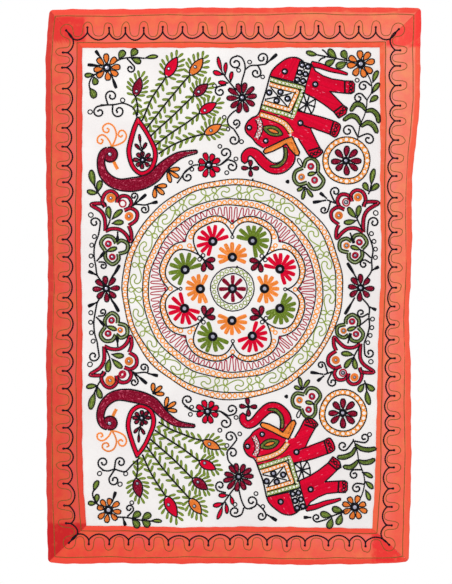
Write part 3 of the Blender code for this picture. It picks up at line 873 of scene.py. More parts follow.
def elephantBody(e):
    for name, angle in (("rump", 118), ("haunch", 20), ("front", 24), ("head", 20)):
        hatch("red", e[name], angle)
    sew("black", smooth(e["spine"]), 1.5, over=1.1)
    for path in (e["rump"][-1:] + e["rump"][:1], e["haunch"], smooth(e["front"][:17]),
                 smooth(e["head"][2:9])):
        sew("black", path, 1.4, over=1.1)
    along(e["tail"], e["tailWidths"], "red", edge=1.2)
    along(e["trunk"], e["trunkWidths"], "red", blunt=(0.1, 0.8))
    job["level"] = 1.2
    along(e["trunkStripe"], (3.6, 3.8, 3.8, 3.4, 1.6), "green", edge=1.1)
    hatch("amber", e["tusk"], -24)
    sew("black", e["tusk"], 1.4, True, over=1.7)
    for offset in (-1.3, 0, 1.3):
        sew("white", beside(e["headband"], offset), 1.9, kind="fill")
    for side in (-1, 1):
        sew("black", beside(e["headband"], side * 2.5), 1.0, over=2.0)
    leaf("green", *e["ear"], 11.5, 0.5, (0.7, 0.7), edge=1.3)
    job["level"] = 4.2
    beads("crimson", smooth(e["headband"]), 1.7, 4.6, width=0.8)
    job["level"] = 3.2
    leaf("orange", *e["earMiddle"], 4.6, 0.5, (0.6, 0.6), edge=1.0)
    job["level"] = 1.2
    for offset in (-1.4, 0, 1.4):
        sew("white", beside(e["collar"], offset), 2.0, kind="fill")
    for side in (-1, 1):
        sew("black", beside(e["collar"], side * 2.7), 1.2, over=1.1)
        sew("gold", beside(e["collar"], side * 1.9), 1.0, kind="thin", over=1.6)
    job["level"] = 3.2
    beads("gold", smooth(e["collar"]), 1.6, 3.9, width=1.0)
    job["level"] = 0.0
    patchBand(e["saddle"], "lime", 4.8)
    patchBand(e["girth"], "gold", 4.6)
    for path in e["cross"]:
        sew("black", path, 1.4)
    for place in e["saddleMirrors"]:
        mirror(place, 1.5, 3.5)
    sew("black", e["sixBand"], 1.2, True, over=1.1)
    for place in e["sixMirrors"]:
        mirror(place, 1.4, 3.4)
    for first, second in ((0, 3), (1, 2), (2, 5), (3, 4)):
        sew("black", [e["sixMirrors"][first], e["sixMirrors"][second]], 1.1)
    for place in e["bodyMirrors"]:
        mirror(place, 1.5, 3.6, lift=0.7 * mm)
    for place in e["headMirrors"]:
        mirror(place, 1.4, 3.3, lift=0.7 * mm)
    for tip in e["netTips"]:
        sew("black", [e["net"], tip], 1.6)
        circle("black", tip, 0.6, 1.3, "chain")
    sew("black", smooth(e["netTips"][2:7]), 1.3)
    circle("black", e["net"], 1.3, 2.0, "chain")
    job["level"] = 2.2
    sew("black", smooth(e["chestLine"]), 1.6)
    for path in e["anklets"]:
        sew("black", path, 1.8)
    for place in e["toes"]:
        circle("black", place, 1.6, 1.4)
    job["level"] = 0.0


def elephants():
    for name, move, foil in (("top", None, None), ("bottom", lowerElephant, lowerFoil)):
        begin("elephant_" + name, move)
        elephantBody(elephant)
        begin("foil_" + name, foil)
        trefoil(elephantFoil)
        circle("black", elephantFoil["dot"], 1.0, 2.2, "chain")
        sew("black", loopLine(*elephantFoil["loop"], 3.4, 0.68, (0.9, 0.4), 10), 1.2, True)


# Bead wheels, each with its climbing vine
wheel = dict(radius=24.1, inner=18, bead=2.4, gap=5.4, line=1.65, reach=14.8, width=5.8,
             arched=(2.2, 4.2, 4.6, 3.4))
vine = dict(
    line=1.25,
    stems=[[(357.4, 141.4), (358.4, 136), (359.6, 130), (360.6, 124.6), (364.4, 115.4), (366.8, 107),
            (367.6, 100.3), (371.6, 92.5), (370.6, 82), (365.4, 70)]],
    leaves=[((372.3, 83), (378.2, 70.6), 4.8), ((372.3, 94), (379.4, 82.6), 4.8),
            ((370, 103.1), (378.4, 96.2), 5.2)],
    curls=[((357.9, 137.2), (348.2, 131.0), 6.2, -1), ((358.6, 137.6), (368.4, 139.4), 6.0, 1),
           ((370.7, 86), (363.0, 86.4), 5.4, -1), ((367.6, 101), (358.6, 98.6), 5.2, -1)],
    loops=[(356.6, 80.0, 2.0)],
)
archedLeaves = [
    [(366, 110.8), (361.4, 105.6), (355.4, 104.6), (350.8, 109.8)],
    [(366, 111.6), (372.2, 110.8), (376.8, 114.8), (378.2, 121.4)],
    [(361, 124.4), (356.6, 117.6), (350.4, 115.6), (344.2, 119.4)],
    [(361.8, 126.3), (367.4, 122.6), (373.2, 125), (376.6, 131.4)],
]
upperWheel, lowerWheel = (346.2, 160.8), (342.7, 412.9)
lowerVine = dict(
    line=1.25,
    stems=[[(352.5, 438.3), (355, 445), (357.5, 453.3), (359.2, 461.7), (363.3, 473.3), (364.2, 483.3),
            (361.6, 495), (356, 505)]],
    leaves=[((362, 472.5), (372.5, 477.5), 4.2), ((364.2, 480.8), (372.5, 488.3), 4.4),
            ((365, 489.2), (369.4, 500), 4.4)],
    curls=[((353, 440), (342.5, 445.8), 5.2, 1), ((354, 440.5), (364.2, 437.3), 5.0, -1),
           ((362.2, 470), (354.2, 474.4), 4.8, -1), ((363.8, 484), (357, 488), 5.0, -1)],
    loops=[(369.6, 434.4, 2.0)],
)
lowerArches = [
    [(355, 444.2), (360.8, 448.3), (368.3, 449.7), (374.7, 448.3)],
    [(354.7, 447.5), (351.7, 453.3), (345, 456.7), (338.3, 457.2)],
    [(358.7, 460.8), (364.2, 462.8), (370, 462), (373.7, 459.7)],
    [(358.3, 460.8), (354.2, 465), (350, 467), (344.2, 466.3)],
]


def wheels():
    w = wheel
    for name, centre, growth, arches in (("top", upperWheel, vine, archedLeaves),
                                         ("bottom", lowerWheel, lowerVine, lowerArches)):
        begin("wheel_" + name)
        for radius in (w["radius"] - 0.6, w["inner"]):
            sew("black", polar(centre, radius, np.linspace(0, 360, 36, endpoint=False)), 1.3, True)
        middle = (w["radius"] + w["inner"]) / 2 - 0.3
        ring = polar(centre, middle, np.linspace(0, 360, 60, endpoint=False))
        beads("gold", ring, w["bead"], w["gap"], True, w["line"])
        flower("maroon", centre, w["reach"], w["width"], 8, -90, 3.2, 1.8)
        begin("vine_" + name)
        spray(growth)
        for path in arches:
            along(path, w["arched"], "green", edge=1.2, blunt=(0.5, 0.9))


# The round medallion in the middle
medallion = dict(  # each of its beaded rings has a radius and the number of its beads
    centre=(232.5, 288.9), circles=(110, 104.2, 90.2, 83.5, 22, 15),
    beadRings=((107.1, 114), (86.9, 98)), centreRing=(18.5, 23),
    lobeTip=75.7, lobeCusp=65.5, innerTip=69.6, axisCusp=54, diagonalCusp=47.5, zigzags=86, repeats=18,
    outerFlowers=51.5, innerFlowers=32, crossTips=(-52, 0, 52),
)
fans = dict(  # reach of its strokes, how wide its gap is, and how far it leans
    outer=dict(reach=16.6, gap=126, facing=67.5, lean=24),
    inner=dict(reach=15.2, gap=135), centre=dict(reach=14, gap=45),
    width=4.2, start=3.4, rim=(1.8, 4.9, 2.6 * mm),
)
strays = [(291.8, 221.9), (252.3, 179.3), (236.6, 266.8)]  # short black stitches on its lines
looseLeaves = [((305, 186.8), [(296.4, 190.6), (302.2, 200), (313, 197)]),
               ((302.4, 389.6), [(294, 386), (299.6, 377), (310, 379.8)])]


def lobed(tip, cusps, sharp):  # an eight-lobed line round the middle, its cusps at whole eighths of a turn
    angle = np.arange(0, 360, 1.5)
    phase = (angle % 45) / 22.5 - 1
    nearest = np.round(angle / 45).astype(int) % 2
    low = np.where(nearest == 0, cusps[0], cusps[1])
    return angle, low + (tip - low) * (1 - np.abs(phase) ** sharp)


def fan(thread, centre, reach, count, gap, facing):
    # thick strokes round a mirror, with a gap that faces the middle of the medallion
    sweep = 360 - gap
    for k in range(count):
        angle = facing + 180 - sweep / 2 + sweep * k / (count - 1) + random.uniform(-3, 3)
        base, tip = polar(centre, np.array([fans["start"], reach * random.uniform(0.94, 1.04)]), angle)
        leaf(thread, base, tip, fans["width"], 0.72, (0.5, 0.32), outline="")
    rims.append((onCloth([centre])[0], *fans["rim"]))


hookLength = 33.9  # chart squares from one hooked curl to the next
clover = dict(loop=6.6, width=4.6, tips=((24, -108), (24, 84), (hookLength, -100), (hookLength, 100)))
hook = [(0, 0), (3, 3.2), (7, 5.3), (11, 5.0), (13.8, 3.0), (13.5, 0.7), (11, -0.3), (8.4, 1.1), (6.2, 0.3),
        (5.6, -2.5), (8.4, -5.0), (14, -5.2), (20, -2.6), (24, 0), (27, -0.9), (31, 0.9), (hookLength, 0)]


def bandRepeat(m, k):  # one hooked curl and the loops that follow it, in the green band
    centre, middle = m["centre"], (m["circles"][1] + m["circles"][2]) / 2
    stretch = 360 / m["repeats"] / hookLength

    def at(onward, out):
        return polar(centre, middle + np.asarray(out, float),
                     (k * hookLength + np.asarray(onward, float)) * stretch)

    path = smooth(hook, steps=4)
    sew("lime", at(path[:, 0], path[:, 1]), 1.35, kind="thin")
    for onward, heading in clover["tips"]:
        base = at([onward], [0])[0]
        facing = (k * hookLength + onward) * stretch + 90
        tip = base + polar((0, 0), clover["loop"] * random.uniform(0.9, 1.08), facing + heading)[0]
        sew("lime", loopLine(base, tip, clover["width"], 0.62, (1.0, 0.5)), 1.3, True, "thin")


def medallionRings(m):
    centre = m["centre"]
    begin("medallion_rings")
    for radius in m["circles"]:
        turn = np.arange(0, 360, 360 / max(24, int(radius)))
        bends = [size * np.sin(np.radians(turn * often) + radius * often)
                 for size, often in ((0.55, 3), (0.35, 8), (0.22, 15))]
        unsteady = sum(bends) * min(1, radius / 60)
        sew("black", polar(centre, radius + unsteady, turn), 1.2, True)
    around = np.linspace(0, 360, 240, endpoint=False)
    for radius, count in m["beadRings"]:
        beads("gold", polar(centre, radius, around), 2.15, 2 * math.pi * radius / count, True, 1.5)
    radius, count = m["centreRing"]
    beads("lime", polar(centre, radius, around), 1.95, 2 * math.pi * radius / count, True, 1.2)


def medallionLobes(m):  # two lobed lines with beads between them, and a zigzag out to the next ring
    centre = m["centre"]
    begin("medallion_lobes")
    angle, outer = lobed(m["lobeTip"], (m["lobeCusp"] - 1, m["lobeCusp"] + 1), 2.6)
    sew("black", polar(centre, outer, angle), 1.4, True)
    angle, inner = lobed(m["innerTip"], (m["axisCusp"], m["diagonalCusp"]), 3.6)
    sew("black", polar(centre, inner, angle), 1.4, True)
    between = polar(centre, (outer + inner) / 2, angle)
    for k in range(8):
        kept = (angle > 45 * k + 3.4) & (angle < 45 * k + 41.6)
        beads("gold", between[kept], 2.05, 5.5, width=1.5)
        for radius in ((62.5,) if k % 2 == 0 else (61, 56.4)):
            circle("gold", polar(centre, radius, 45 * k)[0], 1.9, 1.4)
    begin("medallion_zigzag")
    count = m["zigzags"]
    starts = np.arange(count) * 360 / count + random.uniform(-0.5, 0.5, count)
    share = np.array([0.01, 0.2, 0.39, 0.51, 0.7, 0.89])
    turn = (starts[:, None] + share[None, :] * 360 / count).ravel() % 360
    edge = np.interp(turn, np.append(angle, 360), np.append(outer, outer[0])) + 1.5
    away = m["circles"][3] - 1.5
    reach = np.tile([0.88, 1.0, 0.88, 0.12, 0.0, 0.12], count)
    sew("crimson", smooth(polar(centre, edge + (away - edge) * reach, turn), True, 3), 1.4, True, "thin")
    for k in range(8):
        circle("crimson", polar(centre, m["lobeCusp"] + 2.4, 45 * k)[0], 0.8, 1.6, "chain")


def medallionFlowers(m):
    centre = m["centre"]
    begin("medallion_flowers")
    outer, inner, middle = fans["outer"], fans["inner"], fans["centre"]
    for k in range(8):
        place = polar(centre, m["outerFlowers"], 45 * k - 45 - outer["facing"])[0]
        facing = 45 * k + outer["facing"] + (outer["lean"] if k % 2 else -outer["lean"])
        count = 10 if k in (1, 2, 3) else 9
        fan("moss" if k % 2 else "red", place, outer["reach"], count, outer["gap"], facing)
    for k in range(4):
        place = polar(centre, m["innerFlowers"], 90 * k - 90)[0]
        fan("amber", place, inner["reach"], 9, inner["gap"], 90 * k + 90)
    fan("maroon", centre, middle["reach"], 8, middle["gap"], middle["gap"] / 2)


def medallionSprigs(m):
    centre = m["centre"]
    begin("medallion_sprigs")
    for k in range(4):
        turn = 90 * k - 45
        sew("black", polar(centre, np.array([m["diagonalCusp"], 42, 36]), turn), 1.8)
        for side in (-1, 1):
            circle("black", polar(centre, 44.2, turn + side * 3.4)[0], 1.9, 1.3)
        base = polar(centre, 39.4, turn)[0]
        for away in m["crossTips"]:
            tip = base + polar((0, 0), 11.2 if away else 12.6, turn + 180 + away)[0]
            leaf("maroon", base, tip, 6, 0.66, (1.1, 0.5))
        circle("black", polar(centre, m["axisCusp"] - 1.9, 90 * k)[0], 1.5, 1.3)
    for u, v in strays:
        sew("black", [(u - 0.8, v), (u + 1, v + 0.8)], 2.4)
    for base, tips in looseLeaves:
        for tip in tips:
            leaf("green", base, tip, 4.6, 0.66)


def medallionWork():
    medallionRings(medallion)
    medallionLobes(medallion)
    begin("medallion_band")
    for k in range(medallion["repeats"]):
        bandRepeat(medallion, k)
    medallionFlowers(medallion)
    medallionSprigs(medallion)


# Running lines of the border, placed between its outer edge (0) and its inner edge (1)
trim = dict(cornerLobe=6.4, cornerAway=2.6, cornerKnot=3.4)
trimColumns = ("outerLine", "lobe", "knot", "cusp", "bay", "bulge", "innerLine", "count")
trimRows = dict(
    Top=(0.18, 0.35, 0.485, 0.605, 0.715, 0.795, 0.875, 17),
    Right=(0.185, 0.315, 0.495, 0.615, 0.685, 0.765, 0.86, 28),
    Bottom=(0.17, 0.355, 0.515, 0.625, 0.705, 0.785, 0.875, 16),
    Left=(0.165, 0.28, 0.465, 0.58, 0.655, 0.735, 0.845, 27),
)
trimSides = {side: dict(zip(trimColumns, row)) for side, row in trimRows.items()}
borderCorners = (("Left", "Top", -135), ("Right", "Top", -45), ("Right", "Bottom", 45),
                 ("Left", "Bottom", 135))


def cornerOf(side, end, share):  # where the same share of two border strips meets
    x, z = 0.0, 0.0
    for _ in range(4):
        outerX, innerX = float(edges["outer" + side](-z)), float(edges["inner" + side](-z))
        x = outerX + (innerX - outerX) * share
        outerZ, innerZ = float(edges["outer" + end](x)), float(edges["inner" + end](x))
        z = outerZ + (innerZ - outerZ) * share
    return x, z


def sidePlaces(side, places, shares, ends):  # places run 0 to 1 between the two ends, clockwise
    places = ends[0] + (ends[1] - ends[0]) * np.asarray(places, float)
    upright = side in ("Left", "Right")
    outer, inner = (edges[level + side](-places if upright else places) for level in ("outer", "inner"))
    across = outer + (inner - outer) * np.asarray(shares, float)
    x, z = (across, places) if upright else (places, across)
    return np.column_stack(toChart(x, z))


def sideEnds(k, share):  # where side k starts and stops, along itself
    first, second = borderCorners[k], borderCorners[(k + 1) % 4]
    axis = 0 if k % 2 == 0 else 1
    return cornerOf(first[0], first[1], share)[axis], cornerOf(second[0], second[1], share)[axis]


def borderWork():
    begin("border_lines")
    sides = ("Top", "Right", "Bottom", "Left")

    def around(k, places, shares, column):  # along side k; the four sides' own shares meet at the corners
        mean = sum(trimSides[side][column] for side in sides) / 4
        t = trimSides[sides[k]]
        near = np.clip(np.minimum(places, 1 - np.asarray(places)) * t["count"] / 1.5, 0, 1)
        own = np.asarray(shares, float) - t[column]
        return sidePlaces(sides[k], places, own + mean + (t[column] - mean) * ease(near), sideEnds(k, mean))

    for column in ("outerLine", "innerLine"):
        rounds = []
        for k, side in enumerate(sides):
            place = np.linspace(0, 1, 33)[:-1]
            unsteady = 0.014 * np.sin(place * 17 + k * 2) * np.sin(place * math.pi)
            rounds.append(around(k, place, trimSides[side][column] + unsteady, column))
        sew("olive", np.vstack(rounds), 1.05, True, "thin")
    scallop, meander, knots = [], [], []
    arcShare = np.array([0, 0.04, 0.1, 0.2, 0.34, 0.5, 0.66, 0.8, 0.9, 0.96])
    arcReach = np.sin(math.pi * arcShare) ** 0.7
    waveShare = np.array([0, 0.10, 0.175, 0.222, 0.236, 0.248, 0.27, 0.33, 0.41, 0.5])
    waveShare = np.concatenate([waveShare, 1 - waveShare[-2:0:-1]])
    waveReach = np.array([0, 0.03, 0.13, 0.30, 0.47, 0.63, 0.79, 0.93, 0.985, 1.0])
    waveReach = np.concatenate([waveReach, waveReach[-2:0:-1]])
    for k, side in enumerate(sides):
        t = trimSides[side]
        count, cusp = t["count"], t["cusp"]
        jitter = np.concatenate([[0], random.uniform(-0.13, 0.13, count - 1), [0]])
        cusps = (np.arange(count + 1) + jitter) / count
        across, end, outward = borderCorners[k]
        mean = sum(trimSides[name]["cusp"] for name in sides) / 4
        tip = np.array(toChart(*cornerOf(across, end, mean)))
        middle = tip + polar((0, 0), trim["cornerAway"], outward)[0]
        meander.append(polar(middle, trim["cornerLobe"], outward + np.linspace(-118, 118, 9)))
        knots.append((tip, tip + polar((0, 0), trim["cornerKnot"], outward)[0]))
        for n in range(count):
            step = cusps[n + 1] - cusps[n]
            depth = t["bulge"] + random.uniform(-0.02, 0.02)
            scallop.append(around(k, cusps[n] + step * arcShare, cusp + (depth - cusp) * arcReach, "cusp"))
            far, near = t["lobe"] + random.uniform(-0.025, 0.025), t["bay"] + random.uniform(-0.015, 0.015)
            kept = slice(6 if n == 0 else 0, 13 if n == count - 1 else 18)
            reach = far + (near - far) * waveReach[kept]
            meander.append(around(k, cusps[n] + step * waveShare[kept], reach, "cusp"))
            if n:
                knots.append(around(k, np.full(2, cusps[n]), np.array([cusp + 0.015, t["knot"]]), "cusp"))
    sew("black", np.vstack(scallop), 1.45, True)
    sew("olive", smooth(np.vstack(meander), True, 3), 1.0, True, "thin")
    for base, tip in knots:
        sew("black", [base, base + (tip - base) * 0.5, tip], 1.5)
        circle("black", tip, 0.75, 1.3, "thin")


corners()
peacocks()
columns()
middles()
elephants()
wheels()
medallionWork()
borderWork()
stitched = sum(len(lines) for lines in work.values())
print("lines of stitching:", stitched, "mirrors:", len(glasses) + 13)

# The cloth's own small relief: storage creases, soft unevenness and the pull of the stitches
relief = dict(
    cell=2 * mm, pull=0.22 * mm, pullSpread=2.4, soft=0.55 * mm, softSpread=16, fine=0.22 * mm, fineSpread=4,
    acrossCreases=[(289, 1.0), (106, 0.5), (150, 0.35), (430, 0.5)], downCreases=[(296, 0.9), (170, 0.45)],
    crease=0.75 * mm, creaseWidth=5 * mm, swelling=0.6, swellingWidth=18 * mm, flat=6 * mm, flatFade=14 * mm,
)


def blurred(grid, spread):
    reach = np.arange(-int(3 * spread), int(3 * spread) + 1)
    kernel = np.exp(-0.5 * (reach / spread) ** 2)
    kernel /= kernel.sum()
    pad = len(reach) // 2

    def blurredRow(row):
        return np.convolve(np.pad(row, pad, mode="edge"), kernel, "valid")

    for _ in range(2):
        grid = np.apply_along_axis(blurredRow, 1, grid).T
    return grid


reliefX = np.arange(-0.40, 0.402, relief["cell"])
reliefZ = np.arange(-1.16, 0.012, relief["cell"])


def crease(off, strength):  # a soft trough with a low swelling on both sides of it
    trough = np.exp(-((off / relief["creaseWidth"]) ** 2))
    swelling = np.exp(-((off / relief["swellingWidth"]) ** 2))
    return relief["crease"] * strength * (trough - relief["swelling"] * swelling)


def makeRelief():
    r = relief
    shape = (len(reliefZ), len(reliefX))
    density = np.zeros(shape)
    for lines in work.values():
        for path, _, closed, _, _ in lines:
            place = toCloth(even(path, 0.9, closed))
            i = np.clip(((place[:, 1] - reliefZ[0]) / r["cell"]).astype(int), 0, shape[0] - 1)
            j = np.clip(((place[:, 0] - reliefX[0]) / r["cell"]).astype(int), 0, shape[1] - 1)
            np.add.at(density, (i, j), 1.0)
    density = blurred(np.minimum(density, 1.5), r["pullSpread"])
    grid = r["pull"] * density / density.max()
    for size, spread in ((r["soft"], r["softSpread"]), (r["fine"], r["fineSpread"])):
        noise = blurred(random.normal(size=shape), spread)
        grid += size * noise / noise.std() * 0.5
    x, z = np.meshgrid(reliefX, reliefZ)
    wander = 3 * mm * np.sin(x * 14) + 2 * mm * np.sin(x * 31 + 1)
    for v, strength in r["acrossCreases"]:
        grid -= crease(z + (v - chart["top"]) * chart["square"] + wander, strength)
    wander = 3 * mm * np.sin(z * 11) + 2 * mm * np.sin(z * 27 + 2)
    for u, strength in r["downCreases"]:
        grid -= crease(x - (u - chart["middle"]) * chart["square"] + wander, strength)
    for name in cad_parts:
        if name.startswith("mirror"):  # the cloth lies flat behind the larger mirrors
            low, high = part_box(name)
            away = np.hypot(x - (low.x + high.x) / 2, z - (low.z + high.z) / 2)
            grid *= ease((away - r["flat"]) / r["flatFade"])
    return grid


reliefGrid = makeRelief()
print("relief made")


def reliefAt(x, z):
    fx = np.clip((x - reliefX[0]) / relief["cell"], 0, len(reliefX) - 1.001)
    fz = np.clip((z - reliefZ[0]) / relief["cell"], 0, len(reliefZ) - 1.001)
    j, i = fx.astype(int), fz.astype(int)
    a, b = fx - j, fz - i
    top = reliefGrid[i, j] * (1 - a) + reliefGrid[i, j + 1] * a
    low = reliefGrid[i + 1, j] * (1 - a) + reliefGrid[i + 1, j + 1] * a
    return top * (1 - b) + low * b


def middleOfCloth(x, z):
    return fold(x, z) + reliefAt(x, z)


def fromOuterEdge(x, z):  # distance in from the nearest outer edge
    left, right = x - edges["outerLeft"](-z), edges["outerRight"](-z) - x
    top, bottom = edges["outerTop"](x) - z, z - edges["outerBottom"](x)
    return np.minimum(np.minimum(left, right), np.minimum(top, bottom))


def fromPanel(x, z):  # distance out from the border's inner edge, below zero on the panel
    left, right = edges["innerLeft"](-z) - x, x - edges["innerRight"](-z)
    top, bottom = z - edges["innerTop"](x), edges["innerBottom"](x) - z
    return np.maximum(np.maximum(left, right), np.maximum(top, bottom))


def stripLift(x, z):  # how far the strip's front stands off the fold, and its layers of cloth
    back = cloth["thickness"] / 2 + cloth["gap"]
    single = back + cloth["thickness"]
    hem = 1 - ease((fromOuterEdge(x, z) - cloth["hemWidth"]) / cloth["slope"])
    turn = 1 - ease((fromPanel(x, z) - cloth["turnWidth"]) / cloth["slope"])
    lift = single + hem * (cloth["hemThickness"] - cloth["thickness"])
    return lift + turn * (cloth["turnThickness"] - cloth["thickness"]), hem, turn


def frontOf(x, z):  # the face that the stitches lie on
    ground = middleOfCloth(x, z) - cloth["thickness"] / 2
    strip = middleOfCloth(x, z) - stripLift(x, z)[0]
    return np.where(fromPanel(x, z) > 0, strip, ground)


# Finishes
def finishNodes(name):
    finish = bpy.data.materials.new(name)
    finish.use_nodes = True
    tree = finish.node_tree
    return finish, tree, tree.nodes["Principled BSDF"]


def node(tree, kind, values=None, **settings):
    item = tree.nodes.new(kind)
    for key, value in settings.items():
        setattr(item, key, value)
    for key, value in (values or {}).items():
        item.inputs[key].default_value = value
    return item


def srgb(red, green, blue):
    def linear(part):
        return part / 255 / 12.92 if part <= 10 else ((part / 255 + 0.055) / 1.055) ** 2.4

    return linear(red), linear(green), linear(blue), 1.0


def mixed(tree, factor, first, second, blend="MIX"):
    mix = node(tree, "ShaderNodeMix", data_type="RGBA", blend_type=blend, clamp_factor=True)
    for key, value in ((0, factor), (6, first), (7, second)):
        if isinstance(value, (float, int, tuple)):
            mix.inputs[key].default_value = value
        else:
            tree.links.new(value, mix.inputs[key])
    return mix.outputs[2]


def ranged(tree, value, low, high, toLow=0.0, toHigh=1.0):
    limits = {"From Min": low, "From Max": high, "To Min": toLow, "To Max": toHigh}
    item = node(tree, "ShaderNodeMapRange", limits, clamp=True)
    tree.links.new(value, item.inputs["Value"])
    return item.outputs["Result"]


def attributeOf(tree, name):
    return node(tree, "ShaderNodeAttribute", attribute_name=name).outputs["Fac"]


def noiseOf(tree, scale, detail=3.0, roughness=0.5):
    place = node(tree, "ShaderNodeTexCoord").outputs["Object"]
    item = node(tree, "ShaderNodeTexNoise", {"Scale": scale, "Detail": detail, "Roughness": roughness})
    tree.links.new(place, item.inputs["Vector"])
    return item.outputs["Fac"]


def weaveHeight(tree, pitch, unevenness=2.0):  # warp and weft, as two sets of waves laid over each other
    place = node(tree, "ShaderNodeTexCoord").outputs["Object"]
    waves = []
    values = {"Scale": math.pi / 10 / pitch, "Distortion": unevenness, "Detail": 2.0, "Detail Scale": 0.4}
    for direction in ("X", "Z"):
        wave = node(tree, "ShaderNodeTexWave", values, wave_type="BANDS", bands_direction=direction)
        tree.links.new(place, wave.inputs["Vector"])
        waves.append(wave.outputs["Fac"])
    both = node(tree, "ShaderNodeMath", operation="MULTIPLY")
    tree.links.new(waves[0], both.inputs[0])
    tree.links.new(waves[1], both.inputs[1])
    return both.outputs[0]


def bumped(tree, shader, height, strength, distance):
    bump = node(tree, "ShaderNodeBump", {"Strength": strength, "Distance": distance})
    tree.links.new(height, bump.inputs["Height"])
    tree.links.new(bump.outputs["Normal"], shader.inputs["Normal"])


cottonWhite = dict(light=(250, 247, 245), dark=(241, 236, 235), pitch=0.9 * mm)
cottonCoral = dict(  # how its shade differs near the panel, near the hem and in faded patches
    pitch=0.8 * mm, innerShift=(0, 8, 12), outerShift=(0, -4, -8), patchShift=(1, 15, -6),
)
# Strip by strip: plain cloth at its two ends, left or lower one first, doubled cloth there, hem, turn. The
# plain colours carry painted light and shade: each strip is lighter or darker than the others and shifts
# along its length, as the light fell on it unevenly. The doubled cloth, hem and turn are darker as painted
# shade, for the light that does not come through the extra layers
stripColoursWithPaintedLight = dict(
    Top=((244, 92, 76), (255, 124, 104), (228, 30, 38), (255, 50, 52), (250, 79, 62), (250, 88, 60)),
    Bottom=((241, 73, 61), (255, 106, 90), (204, 24, 34), (248, 30, 40), (248, 74, 56), (250, 79, 58)),
    Left=((227, 69, 58), (239, 93, 80), (203, 14, 26), (230, 30, 38), (215, 58, 48), (238, 72, 54)),
    Right=((253, 99, 82), (255, 136, 117), (250, 40, 44), (255, 46, 50), (255, 97, 70), (250, 103, 69)),
)


def whiteFinish():
    finish, tree, shader = finishNodes("white_cotton_weave")
    blotch = ranged(tree, noiseOf(tree, 9.0, 4.0), 0.35, 0.68)
    colour = mixed(tree, blotch, srgb(*cottonWhite["dark"]), srgb(*cottonWhite["light"]))
    weave = weaveHeight(tree, cottonWhite["pitch"])
    # the weave's low places are painted a little darker: painted shade in its hollows, on top of the bump
    fine = ranged(tree, weave, 0.0, 1.0, 0.94, 1.0)
    tree.links.new(mixed(tree, 1.0, colour, fine, "MULTIPLY"), shader.inputs["Base Color"])
    shader.inputs["Roughness"].default_value = 0.88
    shader.inputs["Sheen Weight"].default_value = 0.08
    bumped(tree, shader, weave, 0.35, 0.25 * mm)
    return finish


def coralFinish(side):
    finish, tree, shader = finishNodes("coral_cotton_" + side.lower())
    first, last, doubledFirst, doubledLast, hem, turn = stripColoursWithPaintedLight[side]
    place = node(tree, "ShaderNodeSeparateXYZ")
    tree.links.new(node(tree, "ShaderNodeTexCoord").outputs["Object"], place.inputs[0])
    # share runs along the strip: the plain colours shift along it as painted light and shade
    if side in ("Left", "Right"):
        share = ranged(tree, place.outputs[2], -1.143, 0.0)
    else:
        share = ranged(tree, place.outputs[0], -0.386, 0.386)

    def shifted(key):
        ends = (np.clip(np.add(shade, cottonCoral[key]), 0, 255) for shade in (first, last))
        return mixed(tree, share, *(srgb(*end) for end in ends))

    outward = ranged(tree, attributeOf(tree, "outward"), 0.3, 0.62)
    plain = mixed(tree, outward, shifted("innerShift"), shifted("outerShift"))
    orange = shifted("patchShift")
    doubledPaintedShade = mixed(tree, share, srgb(*doubledFirst), srgb(*doubledLast))
    blotch = ranged(tree, noiseOf(tree, 34.0, 5.0, 0.62), 0.44, 0.66)
    colour = mixed(tree, blotch, plain, orange)
    # darker where the cloth is hemmed, turned or doubled: the layers are real, their darker tint is painted
    # shade
    for name, paintedLayerShade in (("hem", srgb(*hem)), ("turn", srgb(*turn)), ("doubled", doubledPaintedShade)):
        colour = mixed(tree, attributeOf(tree, name), colour, paintedLayerShade)
    patch = ranged(tree, noiseOf(tree, 70.0, 4.0, 0.65), 0.54, 0.74, 0.0, 0.45)
    colour = mixed(tree, patch, colour, orange)
    weave = weaveHeight(tree, cottonCoral["pitch"])
    # the weave's low places are painted a little darker: painted shade in its hollows, on top of the bump
    fine = ranged(tree, weave, 0.0, 1.0, 0.90, 1.0)
    tree.links.new(mixed(tree, 1.0, colour, fine, "MULTIPLY"), shader.inputs["Base Color"])
    shader.inputs["Roughness"].default_value = 0.85
    shader.inputs["Specular IOR Level"].default_value = 0.25
    bumped(tree, shader, weave, 0.4, 0.25 * mm)
    return finish


threads = {  # the colour of each thread, and a lighter one painted over it in specks as highlights
    "black": ((16, 17, 23), (40, 40, 50)),
    "red": ((219, 0, 46), (230, 18, 64)),
    "maroon": ((132, 0, 36), (188, 68, 96)),
    "orange": ((234, 122, 48), (250, 166, 96)),
    "amber": ((244, 134, 52), (252, 178, 104)),
    "gold": ((251, 154, 52), (254, 192, 106)),
    "crimson": ((180, 6, 48), (214, 58, 90)),
    # the next, pale glint thread is a painted highlight for light caught on raised stitches
    "rose": ((236, 96, 128), (248, 160, 180)),
    "lime": ((142, 162, 60), (182, 196, 118)),
    "green": ((90, 110, 42), (152, 170, 96)),
    "moss": ((100, 122, 34), (158, 178, 90)),
    "olive": ((118, 84, 36), (150, 112, 60)),
    "white": ((240, 236, 232), (250, 248, 246)),
}
threadSlots = {name: name + "_thread" for name in threads}
# the pale glint thread, a painted highlight, shares the red thread's slot
threadSlots.update(amber="orange_thread", gold="orange_thread", crimson="maroon_thread", rose="red_thread",
                   lime="green_thread", moss="green_thread", white="white_cotton")


